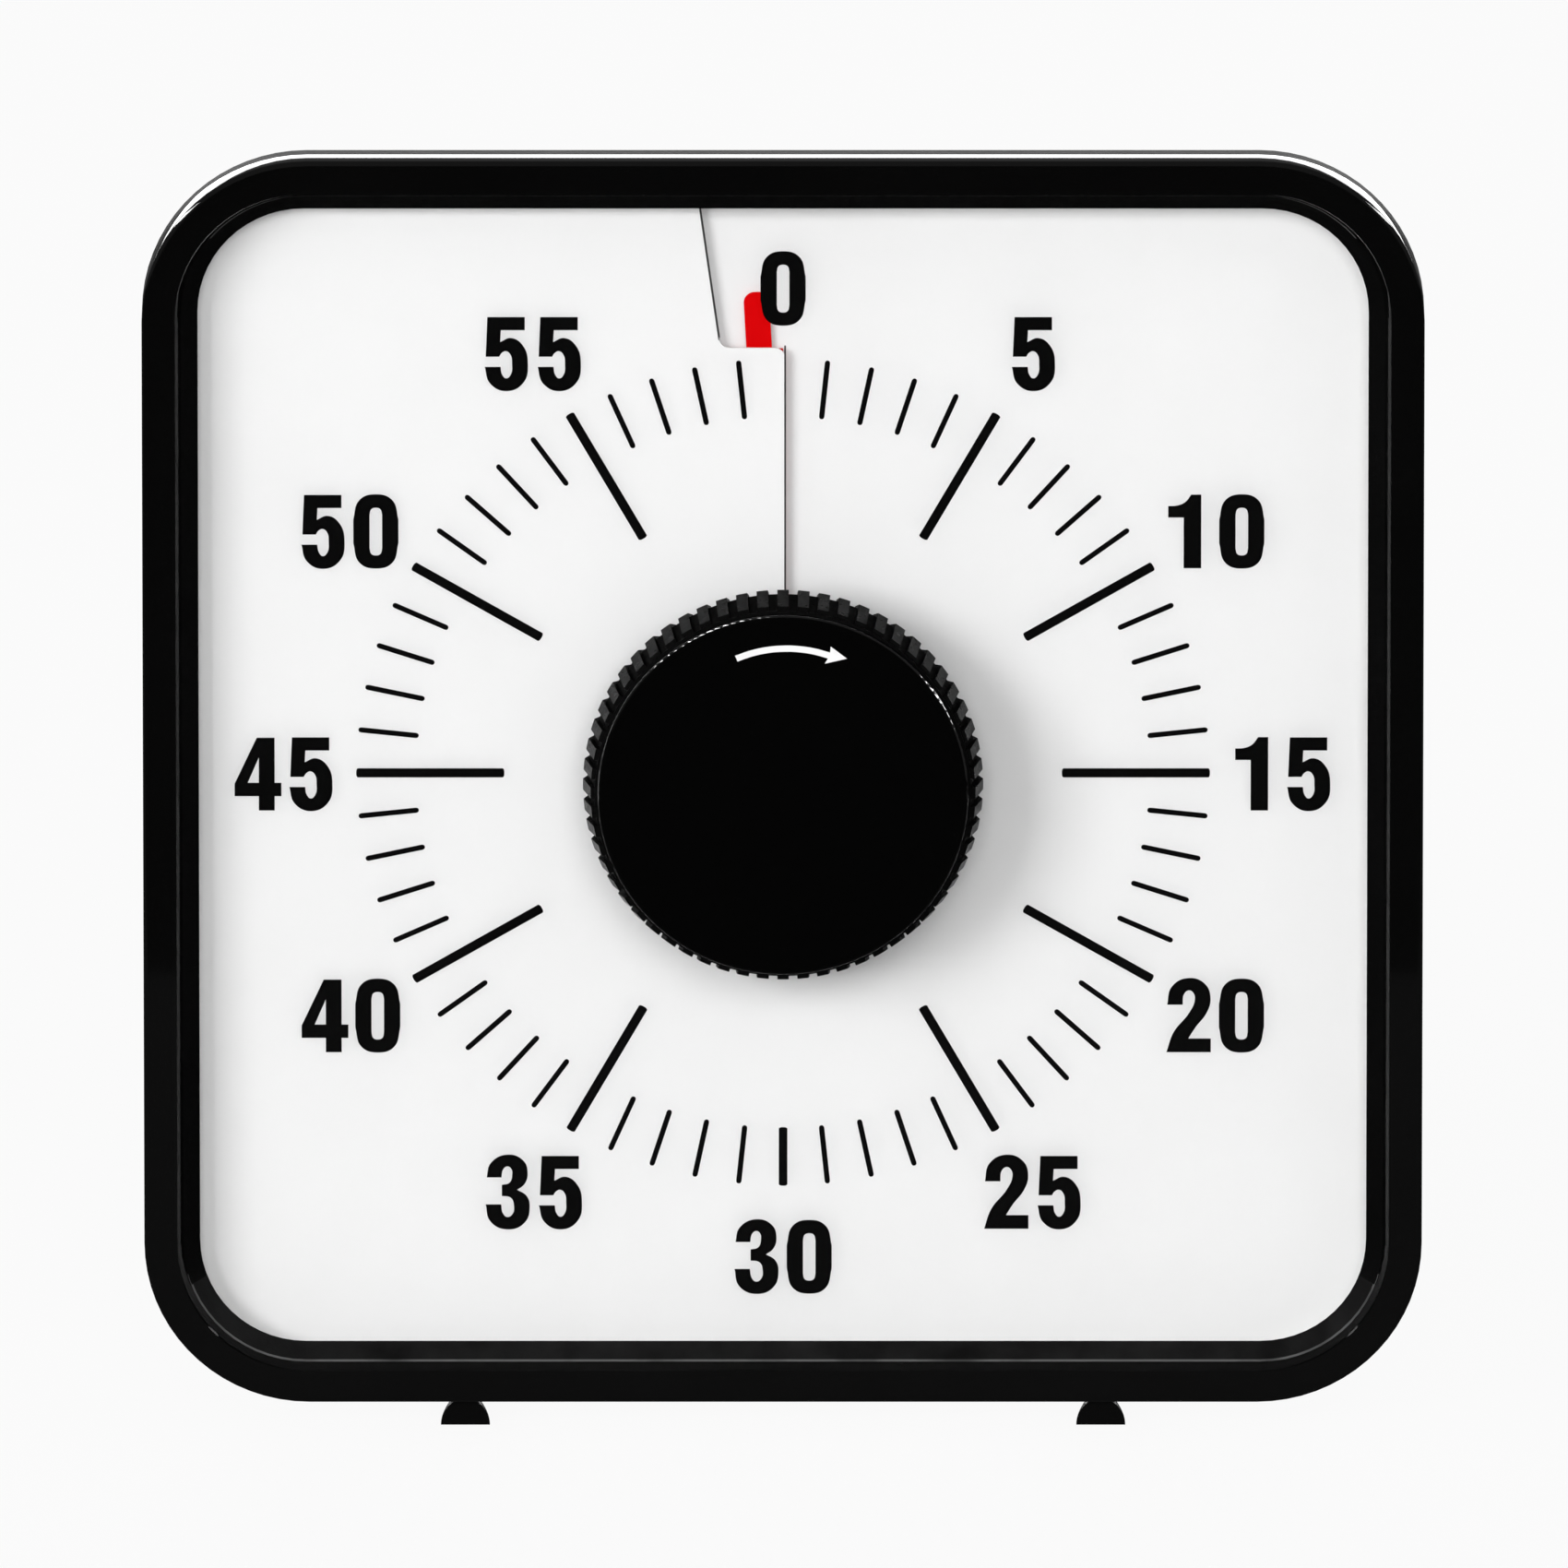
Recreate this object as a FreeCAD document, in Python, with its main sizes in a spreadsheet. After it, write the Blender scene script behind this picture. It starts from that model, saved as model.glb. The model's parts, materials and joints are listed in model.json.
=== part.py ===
import math
import os
import re

import FreeCAD
import Part
import Sketcher

# Wind-up visual countdown timer, free standing on two swing-out feet.
# Local frame of every sub-part: X to the right, Y back from the frame's front face, Z up from the dial axis.
# Each sub-part's Placement then stands the timer on the table, with the middle of its depth at Y = 0.

V = FreeCAD.Vector
doc = FreeCAD.newDocument("visual_timer")

# Driving dimensions in millimetres and degrees, one alias each
SIZES = [
    ("case_side", 190.0, "outer width and height of the square front frame"),
    ("case_corner", 24.5, "outer corner radius of the frame"),
    ("frame_depth", 7.6, "depth of the frame's visible side"),
    ("frame_edge_round", 0.7, "small rounding of the frame's outer front edge"),
    ("frame_face", 4.95, "width of the frame's flat front face"),
    ("crease_inset", 0.85, "how far the steep first step of the inner wall leans in"),
    ("crease_depth", 2.5, "depth of that first step"),
    ("lip_inset", 2.45, "how far the rest of the inner wall leans in"),
    ("lip_depth", 4.9, "depth of the inner wall, down to the cover"),
    ("opening_corner", 19.05, "corner radius of the opening at the front face"),
    ("slip", 0.2, "clearance between parts that drop into each other"),
    ("running_fit", 0.04, "radial clearance of a pivot in its hole"),
    ("cover_thick", 2.0, "clear front cover"),
    ("cover_overlap", 2.65, "how far the cover reaches under the frame's lip"),
    ("skirt_wall", 1.6, "wall of the skirt that holds cover and carrier"),
    ("snap_reach", 0.7, "how far the snap hooks reach over the carrier"),
    ("snap_height", 1.0, "depth of a snap hook"),
    ("snap_width", 8.0, "width of a snap hook"),
    ("snap_spread", 45.0, "snap hooks from the middle of each side"),
    ("dial_margin", 1.4, "white dial sheet short of the carrier's outer size"),
    ("sheet_thick", 0.35, "thickness of the dial sheet and of the red disc"),
    ("sheet_pitch", 1.6, "rise of the dial's spiral in one turn"),
    ("cover_gap", 0.3, "least gap between the red disc and the clear cover"),
    ("slit_shift", 0.3, "radial slit to the right of the dial axis"),
    ("notch_reach", 64.7, "height of the slit above the axis, where the notch starts"),
    ("notch_left", 7.7, "lower inner corner of the notch, left of the axis"),
    ("notch_slant", 8.1, "angle of the notch's left edge"),
    ("notch_round", 1.6, "rounding of the notch's corners"),
    ("sheet_underlap", 12.0, "degrees that the low end of the sheet runs on under the high end"),
    ("dial_hole", 12.0, "radius of the hole in the dial sheet"),
    ("disc_radius", 64.4, "radius of the red disc"),
    ("disc_span", 354.0, "degrees of the red disc, and the knob's travel"),
    ("tab_reach", 73.1, "radius of the red pointer tab's tip"),
    ("tab_width", 3.8, "width of the tab"),
    ("tab_angle", 3.15, "degrees of the tab behind the disc's leading edge"),
    ("tab_round", 1.6, "rounding of the tab's tip"),
    ("hub_radius", 11.0, "outer radius of the red disc's hub"),
    ("hub_length", 4.0, "length of the hub"),
    ("carrier_sweep", 1.6, "room around the tab in the carrier's well"),
    ("carrier_floor", 1.8, "floor of the dial carrier"),
    ("carrier_gap", 0.45, "gap between the red disc and the carrier's floor"),
    ("carrier_hole", 13.0, "radius of the hole for the hub in carrier and cover"),
    ("shell_wall", 1.7, "wall of the rear shell"),
    ("shell_back_wall", 2.2, "back wall of the rear shell"),
    ("shell_back_side", 164.0, "width and height of the flat back"),
    ("shell_back_corner", 16.0, "corner radius of the flat back"),
    ("back_room", 1.6, "room behind the movement"),
    ("post_spread", 70.0, "case screws from the axis, in X and in Z"),
    ("post_radius", 3.6, "radius of the carrier's screw posts"),
    ("boss_radius", 4.8, "radius of the rear shell's screw bosses"),
    ("boss_web", 2.2, "material under the case screw's head"),
    ("case_screw_radius", 1.5, "case screw shank"),
    ("case_screw_head", 2.9, "case screw head radius"),
    ("case_screw_head_height", 2.0, "case screw head height"),
    ("case_screw_grip", 8.0, "length of the case screw in the post"),
    ("magnet_radius", 9.0, "radius of the holding magnets"),
    ("magnet_thick", 3.0, "thickness of the holding magnets"),
    ("magnet_spread", 50.0, "magnets from the axis, in X and in Z"),
    ("magnet_seat_wall", 1.5, "wall round a magnet's pocket"),
    ("keyhole_entry", 4.0, "radius of the keyhole's entry"),
    ("keyhole_slot", 2.1, "half width of the keyhole's slot"),
    ("keyhole_rise", 9.0, "from the entry's centre up to the slot's end"),
    ("keyhole_height", 62.0, "keyhole's entry above the dial axis"),
    ("foot_spread", 47.3, "feet from the middle"),
    ("foot_base", 7.3, "width of a foot on the table"),
    ("foot_top", 3.2, "width of a foot's rounded top"),
    ("foot_bulge", 0.55, "how far a foot's side bulges from a straight line"),
    ("foot_height", 3.6, "height of a foot"),
    ("foot_front", 2.0, "front end of a foot behind the frame's face"),
    ("foot_length", 54.0, "length of a foot"),
    ("foot_pivot", 24.0, "pivot of a foot behind the frame's face"),
    ("foot_waist", 3.6, "narrowest width of a foot, behind its front pad"),
    ("foot_waist_start", 7.4, "front end of that waist behind the frame's face"),
    ("foot_waist_end", 16.0, "rear end of that waist behind the frame's face"),
    ("foot_scallop", 8.2, "radius of the hollows at both ends of the waist"),
    ("foot_boss", 5.0, "radius of the boss over a foot"),
    ("foot_screw_radius", 1.3, "foot screw shank"),
    ("foot_screw_head", 2.4, "foot screw head radius"),
    ("foot_screw_head_height", 1.4, "foot screw head height"),
    ("foot_screw_sink", 0.3, "foot screw head above the table"),
    ("foot_screw_grip", 5.0, "foot screw in the boss"),
    ("washer_thick", 0.3, "washer between foot and boss"),
    ("washer_radius", 2.2, "radius of that washer"),
    ("knob_radius", 29.7, "radius over the knob's ribs"),
    ("knob_face_radius", 27.9, "radius of the knob's smooth rim behind the cap"),
    ("knob_base_radius", 28.3, "radius over the ribs at the knob's back edge"),
    ("knob_ribs", 60, "ribs round the knob"),
    ("rib_height", 0.65, "height of a rib"),
    ("rib_width", 1.7, "width of a rib"),
    ("rib_start", 0.5, "smooth rim before the ribs"),
    ("knob_proud", 6.7, "knob's front face before the frame's"),
    ("knob_waist", 0.3, "widest ring of the knob behind the frame's face"),
    ("knob_lift", 0.6, "gap between knob and cover"),
    ("knob_wall", 2.2, "wall of the knob"),
    ("cap_radius", 27.5, "radius of the glossy cap that is the knob's face"),
    ("cap_thick", 1.0, "thickness of the cap"),
    ("cap_edge", 0.3, "rounding of the cap's edge"),
    ("cap_plug_radius", 24.5, "radius of the plug behind the cap"),
    ("cap_plug_depth", 0.8, "depth of that plug"),
    ("knob_boss", 8.0, "radius of the knob's inner boss"),
    ("arbor_radius", 3.0, "main arbor"),
    ("arbor_flat", 2.3, "from the axis to the arbor's drive flat"),
    ("arbor_pivot", 2.0, "rear pivot of the main arbor"),
    ("knob_screw_radius", 1.25, "knob screw shank"),
    ("knob_screw_head", 3.0, "knob screw head radius"),
    ("knob_screw_head_height", 1.4, "knob screw head height"),
    ("knob_screw_length", 5.5, "knob screw in the arbor"),
    ("knob_web", 1.4, "material between the knob screw's head and the arbor"),
    ("press_fit", 0.01, "play between parts pressed together"),
    ("drill_past", 0.3, "bore beyond the end of its screw"),
    ("collar_lead", 0.2, "main arbor's collar behind the front plate"),
    ("collar_step", 2.0, "height of that collar over the arbor"),
    ("clip_radius", 3.6, "outer radius of the arbor's clip"),
    ("clip_thick", 0.5, "thickness of the clip"),
    ("plate_thick", 1.2, "movement plates"),
    ("plate_room", 12.0, "between the movement plates"),
    ("plate_left", 26.0, "plates to the left of the axis"),
    ("plate_right", 46.0, "plates to the right of the axis"),
    ("plate_low", 26.0, "plates below the axis"),
    ("plate_high", 42.0, "plates above the axis"),
    ("plate_inset", 6.0, "pillars from the plates' edges"),
    ("pillar_radius", 2.8, "plate pillars"),
    ("pillar_screw_radius", 1.25, "pillar screw shank"),
    ("pillar_screw_head", 2.5, "pillar screw head radius"),
    ("pillar_screw_head_height", 1.2, "pillar screw head height"),
    ("pillar_screw_grip", 4.0, "pillar screw in the pillar"),
    ("pivot_radius", 0.6, "pivots of the train"),
    ("train_arbor", 1.2, "arbors of the train"),
    ("end_shake", 0.15, "end play of the train's arbors"),
    ("main_module", 0.55, "module of the main wheel"),
    ("main_teeth", 64, "teeth of the main wheel"),
    ("second_pinion_teeth", 16, "leaves of the second pinion"),
    ("second_module", 0.5, "module of the second wheel"),
    ("second_teeth", 48, "teeth of the second wheel"),
    ("third_pinion_teeth", 16, "leaves of the third pinion"),
    ("third_module", 0.45, "module of the third wheel"),
    ("third_teeth", 45, "teeth of the third wheel"),
    ("escape_pinion_teeth", 15, "leaves of the escape pinion"),
    ("third_bearing", 60.0, "direction from second to third arbor, from the right"),
    ("escape_bearing", 150.0, "direction from third to escape arbor"),
    ("escape_teeth", 15, "teeth of the escape wheel"),
    ("escape_radius", 6.8, "tip radius of the escape wheel"),
    ("pallet_distance", 9.6, "pallet arbor to the left of the escape arbor"),
    ("pallet_gap", 0.5, "pallet pins clear of the escape wheel"),
    ("balance_left", 9.0, "balance to the left of the dial axis"),
    ("balance_height", 27.5, "balance above the dial axis"),
    ("balance_radius", 8.5, "outer radius of the balance wheel"),
    ("balance_rim", 1.4, "width of the balance's rim"),
    ("balance_thick", 1.2, "thickness of the balance wheel"),
    ("main_wheel_thick", 1.2, "main wheel"),
    ("wheel_thick", 0.8, "other wheels"),
    ("spring_inner", 4.0, "inner radius of the mainspring"),
    ("spring_step", 1.25, "mainspring's growth per turn"),
    ("spring_turns", 9, "turns of the mainspring"),
    ("spring_strip", 0.4, "thickness of the mainspring's strip"),
    ("spring_width", 6.0, "width of the mainspring's strip"),
    ("bell_left", 56.0, "bell to the left of the axis"),
    ("bell_drop", 24.0, "bell below the axis"),
    ("bell_radius", 17.0, "radius of the bell"),
    ("bell_height", 8.0, "height of the bell"),
    ("bell_wall", 0.9, "wall of the bell"),
    ("bell_post_radius", 3.0, "bell's post"),
    ("hammer_left", 24.0, "hammer's pivot to the left of the axis"),
    ("hammer_drop", 8.0, "hammer's pivot below the axis"),
    ("hammer_gap", 0.6, "hammer from the bell at rest"),
    ("hammer_radius", 2.2, "hammer head"),
    ("train_gap", 0.9, "gap before the main wheel, and between it and the second wheel"),
    ("third_gap", 1.9, "gap between the second and third wheels"),
    ("escape_gap", 1.3, "gap between the third and escape wheels"),
    ("seat_step", 0.6, "height of a wheel's seat over its arbor, and its length before the wheel"),
    ("leaf_overhang", 0.3, "leaves and seats beyond a wheel's faces"),
    ("arm_half", 0.9, "half the width of a wheel's arms"),
    ("hub_wall", 1.4, "wall of a wheel's hub"),
    ("staff_radius", 0.9, "pallet arbor and balance staff"),
    ("lever_gap", 0.5, "pallet lever behind the escape wheel"),
    ("lever_thick", 0.7, "thickness of the pallet lever"),
    ("lever_half", 0.7, "half the width of its arms"),
    ("lever_hub", 1.6, "radius of its hub"),
    ("pallet_pin", 0.35, "radius of a pallet pin"),
    ("roller_radius", 2.2, "radius of the balance staff's roller"),
    ("impulse_pin", 0.3, "radius of the pin on the roller"),
    ("balance_gap", 0.6, "balance wheel before the escape wheel"),
    ("balance_hub", 1.9, "radius of the balance wheel's hub"),
    ("hair_inner", 1.5, "innermost radius of the hairspring"),
    ("hair_step", 0.55, "step between the hairspring's turns"),
    ("hair_thick", 0.15, "thickness of the hairspring's strip"),
    ("hair_width", 0.5, "width of that strip, and the spring behind its staff's shoulder"),
    ("stud_radius", 0.5, "radius of the hairspring's stud"),
    ("clutch_foot", 6.0, "radius of the clutch spring on the main wheel"),
    ("clutch_neck", 4.4, "radius of the clutch spring's neck"),
    ("clutch_wall", 0.6, "wall of the clutch spring"),
    ("cam_gap", 0.4, "strike cam before the rear plate"),
    ("strike_half", 0.9, "half the width of the hammer's arms"),
    ("strike_hub", 2.0, "radius of the hammer's hub"),
    ("strike_arbor", 1.0, "radius of the hammer's arbor"),
    ("cam_radius", 9.0, "strike cam on the arbor"),
    ("cam_thick", 0.8, "strike cam and hammer lever"),
]

# Sizes that follow from the ones above, as formulas
DERIVED = [
    ("opening_side", "case_side - 2 * frame_face"),
    ("crease_side", "opening_side - 2 * crease_inset"),
    ("window_side", "crease_side - 2 * lip_inset"),
    ("crease_corner", "opening_corner - crease_inset"),
    ("window_corner", "crease_corner - lip_inset"),
    ("cover_side", "window_side + 2 * cover_overlap"),
    ("cover_corner", "window_corner + cover_overlap"),
    ("pocket_side", "cover_side + 2 * slip"),
    ("pocket_corner", "cover_corner + slip"),
    ("skirt_side", "pocket_side + 2 * skirt_wall"),
    ("skirt_corner", "pocket_corner + skirt_wall"),
    ("rim_inner_side", "skirt_side + 2 * slip"),
    ("rim_inner_corner", "skirt_corner + slip"),
    ("rim_side", "rim_inner_side + 2 * shell_wall"),
    ("rim_corner", "rim_inner_corner + shell_wall"),
    ("cover_back", "lip_depth + cover_thick"),
    ("dial_low", "cover_back + cover_gap + 1.5 * sheet_pitch"),
    ("dial_side", "cover_side - 2 * dial_margin"),
    ("dial_corner", "cover_corner - dial_margin"),
    ("floor_front", "dial_low + sheet_pitch / 2 + sheet_thick + carrier_gap"),
    ("floor_back", "floor_front + carrier_floor"),
    ("well_radius", "tab_reach + carrier_sweep"),
    ("hook_front", "floor_back + slip / 2"),
    ("skirt_back", "hook_front + snap_height"),
    ("rim_back", "skirt_back + slip"),
    ("plate_front_back", "floor_back + plate_thick"),
    ("rear_plate_front", "plate_front_back + plate_room"),
    ("rear_plate_back", "rear_plate_front + plate_thick"),
    ("shell_inside", "rear_plate_back + back_room"),
    ("shell_back", "shell_inside + shell_back_wall"),
    ("shell_inner_side", "shell_back_side - 2 * shell_wall"),
    ("shell_inner_corner", "shell_back_corner - shell_wall"),
    ("screw_seat", "shell_back - case_screw_head_height - 0.6"),
    ("post_end", "screw_seat - boss_web"),
    ("bore_clear", "case_screw_radius + running_fit"),
    ("head_clear", "case_screw_head + slip"),
    ("magnet_pocket", "magnet_radius + slip / 2"),
    ("magnet_boss", "magnet_pocket + magnet_seat_wall"),
    ("magnet_front", "shell_back - magnet_thick"),
    ("case_bottom", "-case_side / 2"),
    ("foot_top_level", "case_bottom - washer_thick"),
    ("table_level", "foot_top_level - foot_height"),
    ("axis_height", "-table_level"),
    ("foot_chord", "sqrt(((foot_base - foot_top) / 2) ^ 2 + foot_height ^ 2)"),
    ("foot_arc", "foot_bulge / 2 + foot_chord ^ 2 / (8 * foot_bulge)"),
    ("foot_back", "foot_front + foot_length"),
    ("depth_middle", "(foot_back - knob_proud) / 2"),
    ("knob_back", "lip_depth - knob_lift"),
    ("second_right", "main_module * (main_teeth + second_pinion_teeth) / 2"),
    ("second_third", "second_module * (second_teeth + third_pinion_teeth) / 2"),
    ("third_escape", "third_module * (third_teeth + escape_pinion_teeth) / 2"),
    ("depth_shift", "-depth_middle"),
]

sheet = doc.addObject("Spreadsheet::Sheet", "Sizes")
for row, (alias, number, note) in enumerate(SIZES, start=1):
    sheet.set(f"A{row}", note)
    sheet.set(f"B{row}", str(number))
    sheet.setAlias(f"B{row}", alias)
driving = {alias for alias, number, note in SIZES}
derived = {alias for alias, formula in DERIVED}


def formula(text):
    """The text with each alias led by the sheet that holds it."""
    def lead(found):
        word = found.group(0)
        if word in driving:
            return "Sizes." + word
        return "Derived." + word if word in derived else word
    return re.sub(r"[A-Za-z_]+", lead, text)


follow = doc.addObject("Spreadsheet::Sheet", "Derived")
for row, (alias, text) in enumerate(DERIVED, start=1):
    follow.set(f"B{row}", "=" + formula(text).replace("Derived.", ""))
    follow.setAlias(f"B{row}", alias)
doc.recompute()


def size(alias):
    """A size as a number, from either sheet."""
    return float(sheet.get(alias) if alias in driving else follow.get(alias))


def bind(thing, prop, text):
    thing.setExpression(prop, formula(text))


nodes = []


def node(thing, label):
    """Names a sub-part and stands it in the timer's frame."""
    thing.Label = label
    bind(thing, "Placement.Base.y", "depth_shift")
    bind(thing, "Placement.Base.z", "axis_height")
    nodes.append(thing)
    return thing


def coded(label, shape):
    """A sub-part whose shape is worked out by this file's own code."""
    thing = doc.addObject("Part::Feature", label)
    thing.Shape = shape if shape.Placement.isIdentity() else Part.makeCompound([shape])
    return node(thing, label)


# PartDesign helpers: sketches lie in the XZ plane at a depth, and solids grow towards the back
def new_sketch(body, name, depth="0", role="XZ_Plane"):
    sketch = body.newObject("Sketcher::SketchObject", name)
    plane = [item for item in body.Origin.OriginFeatures if item.Role == role][0]
    sketch.AttachmentSupport = [(plane, "")]
    sketch.MapMode = "FlatFace"
    bind(sketch, "AttachmentOffset.Base.z", f"-({depth})" if role == "XZ_Plane" else depth)
    return sketch


def constrain(sketch, name, text, *parts):
    """Adds a dimension that follows a formula."""
    index = sketch.addConstraint(Sketcher.Constraint(*parts))
    sketch.renameConstraint(index, name)
    bind(sketch, "Constraints." + name, text)


def rounded_square(body, name, depth, side, corner):
    """A sketch of a centred square with rounded corners."""
    sketch = new_sketch(body, name, depth)
    radius = size(corner)
    middle = size(side) / 2 - radius
    arcs = []
    for turn, (x, z) in enumerate([(1, 1), (-1, 1), (-1, -1), (1, -1)]):
        circle = Part.Circle(V(x * middle, z * middle, 0), V(0, 0, 1), radius)
        start = turn * math.pi / 2
        arcs.append(sketch.addGeometry(Part.ArcOfCircle(circle, start, start + math.pi / 2), False))
    lines = []
    for turn in range(4):
        first = sketch.getPoint(arcs[turn], 2)
        last = sketch.getPoint(arcs[(turn + 1) % 4], 1)
        lines.append(sketch.addGeometry(Part.LineSegment(first, last), False))
    for turn in range(4):
        after = arcs[(turn + 1) % 4]
        sketch.addConstraint(Sketcher.Constraint("Tangent", arcs[turn], 2, lines[turn], 1))
        sketch.addConstraint(Sketcher.Constraint("Tangent", lines[turn], 2, after, 1))
        straight = "Vertical" if turn % 2 else "Horizontal"
        sketch.addConstraint(Sketcher.Constraint(straight, lines[turn]))
    for turn in range(1, 4):
        sketch.addConstraint(Sketcher.Constraint("Equal", arcs[0], arcs[turn]))
    sketch.addConstraint(Sketcher.Constraint("Symmetric", arcs[0], 3, arcs[2], 3, -1, 1))
    constrain(sketch, "corner", corner, "Radius", arcs[0], radius)
    constrain(sketch, "wide", side, "DistanceX", lines[1], 1, lines[3], 1, size(side))
    constrain(sketch, "high", side, "DistanceY", lines[2], 1, lines[0], 1, size(side))
    return sketch


def add_circle(sketch, name, radius, x="0", z="0"):
    """A circle in a sketch, its radius and centre following formulas."""
    circle = sketch.addGeometry(Part.Circle(V(1, 1, 0), V(0, 0, 1), size(radius)), False)
    constrain(sketch, name + "_radius", radius, "Radius", circle, size(radius))
    for key, kind, text in (("_x", "DistanceX", x), ("_z", "DistanceY", z)):
        if text == "0":
            axis = -2 if kind == "DistanceX" else -1
            sketch.addConstraint(Sketcher.Constraint("PointOnObject", circle, 3, axis))
        else:
            constrain(sketch, name + key, text, kind, -1, 1, circle, 3, 1)


def pad(body, sketch, length, name):
    feature = body.newObject("PartDesign::Pad", name)
    feature.Profile = sketch
    feature.Reversed = True
    bind(feature, "Length", length)
    return feature


def pocket(body, sketch, length, name):
    feature = body.newObject("PartDesign::Pocket", name)
    feature.Profile = sketch
    bind(feature, "Length", length)
    return feature


def loft(body, kind, first, second, name):
    feature = body.newObject("PartDesign::" + kind, name)
    feature.Profile = first
    feature.Sections = [second]
    feature.Ruled = True
    return feature


# Part helpers: solids whose axis runs from front to back
TO_BACK = FreeCAD.Rotation(V(1, 0, 0), -90)


def drum(name, radius, depth, length, x="0", z="0"):
    """A cylinder that starts at a depth and grows towards the back."""
    thing = doc.addObject("Part::Cylinder", name)
    thing.Placement = FreeCAD.Placement(V(0, 0, 0), TO_BACK)
    bind(thing, "Radius", radius)
    bind(thing, "Height", length)
    bind(thing, "Placement.Base.x", x)
    bind(thing, "Placement.Base.y", depth)
    bind(thing, "Placement.Base.z", z)
    return thing


def cut(name, base, tools):
    thing = doc.addObject("Part::Cut", name)
    thing.Base = base
    if len(tools) > 1:
        thing.Tool = fuse(name + "_tools", tools)
    else:
        thing.Tool = tools[0]
    return thing


def fuse(name, things):
    thing = doc.addObject("Part::MultiFuse", name)
    thing.Shapes = things
    return thing


def rod(radius, front, back, x=0.0, z=0.0):
    """A plain cylinder shape between two depths."""
    return Part.makeCylinder(radius, back - front, V(x, front, z), V(0, 1, 0))


def tapered(first, last, front, back, x=0.0, z=0.0):
    """A cone between two depths, or a cylinder when both ends are the same."""
    if abs(first - last) < 0.01:
        return rod(first, front, back, x, z)
    return Part.makeCone(first, last, back - front, V(x, front, z), V(0, 1, 0))


def plate(points, front, back):
    """A flat outline of (x, z) points made solid between two depths."""
    corners = [V(x, front, z) for x, z in points]
    face = Part.Face(Part.makePolygon(corners + corners[:1]))
    return face.extrude(V(0, back - front, 0))


def polar(radius, degrees, x=0.0, z=0.0):
    """A point at an angle counted from the right, anticlockwise seen from the front."""
    turn = math.radians(degrees)
    return x + radius * math.cos(turn), z + radius * math.sin(turn)



# Case: frame, cover, rear shell
def make_front_frame():
    body = doc.addObject("PartDesign::Body", "frame_body")
    outline = rounded_square(body, "frame_outline", "0", "case_side", "case_corner")
    ring = pad(body, outline, "frame_depth", "frame_ring")
    doc.recompute()
    front_edges = [
        f"Edge{number}" for number, edge in enumerate(ring.Shape.Edges, start=1)
        if edge.BoundBox.YMax < size("frame_depth") / 2
    ]
    soft = body.newObject("PartDesign::Fillet", "frame_soft_edge")
    soft.Base = (ring, front_edges)
    bind(soft, "Radius", "frame_edge_round")
    skirt = rounded_square(body, "skirt_outline", "frame_depth", "skirt_side", "skirt_corner")
    pad(body, skirt, "skirt_back - frame_depth", "frame_skirt")
    mouth = rounded_square(body, "mouth_outline", "0", "opening_side", "opening_corner")
    crease = rounded_square(body, "crease_outline", "crease_depth", "crease_side", "crease_corner")
    loft(body, "SubtractiveLoft", mouth, crease, "frame_crease")
    crease = rounded_square(body, "lip_outline", "crease_depth", "crease_side", "crease_corner")
    window = rounded_square(body, "window_outline", "lip_depth", "window_side", "window_corner")
    loft(body, "SubtractiveLoft", crease, window, "frame_lip")
    seat = rounded_square(body, "seat_outline", "lip_depth", "pocket_side", "pocket_corner")
    pocket(body, seat, "skirt_back - lip_depth", "frame_seat")
    hooks = []
    half = size("pocket_side") / 2
    for turn in range(4):
        for side in (-1, 1):
            hook = doc.addObject("Part::Wedge", f"snap_hook_{turn}_{side + 1}")
            bind(hook, "Xmin", "0")
            bind(hook, "Xmax", "snap_width")
            bind(hook, "X2min", "0")
            bind(hook, "X2max", "snap_width")
            bind(hook, "Ymin", "0")
            bind(hook, "Ymax", "snap_height")
            bind(hook, "Zmin", "-snap_reach")
            bind(hook, "Zmax", "skirt_wall / 2")
            bind(hook, "Z2min", "0")
            bind(hook, "Z2max", "skirt_wall / 2")
            spin = FreeCAD.Rotation(V(0, 1, 0), 90 * turn)
            shift = side * size("snap_spread") - size("snap_width") / 2
            place = spin.multVec(V(shift, 0, half)) + V(0, size("hook_front"), 0)
            hook.Placement = FreeCAD.Placement(place, spin)
            hooks.append(hook)
    node(fuse("frame_and_hooks", [body] + hooks), "front_frame")


def make_front_cover():
    body = doc.addObject("PartDesign::Body", "cover_body")
    outline = rounded_square(body, "cover_outline", "lip_depth", "cover_side", "cover_corner")
    pad(body, outline, "cover_thick", "cover_plate")
    hole = new_sketch(body, "cover_hole", "lip_depth")
    add_circle(hole, "hub", "carrier_hole")
    pocket(body, hole, "cover_thick", "cover_opening")
    node(body, "front_cover")


def corner_places(spread):
    """The four corners of a square about the dial axis."""
    reach = size(spread)
    return [(sx * reach, sz * reach) for sx in (-1, 1) for sz in (-1, 1)]


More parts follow.
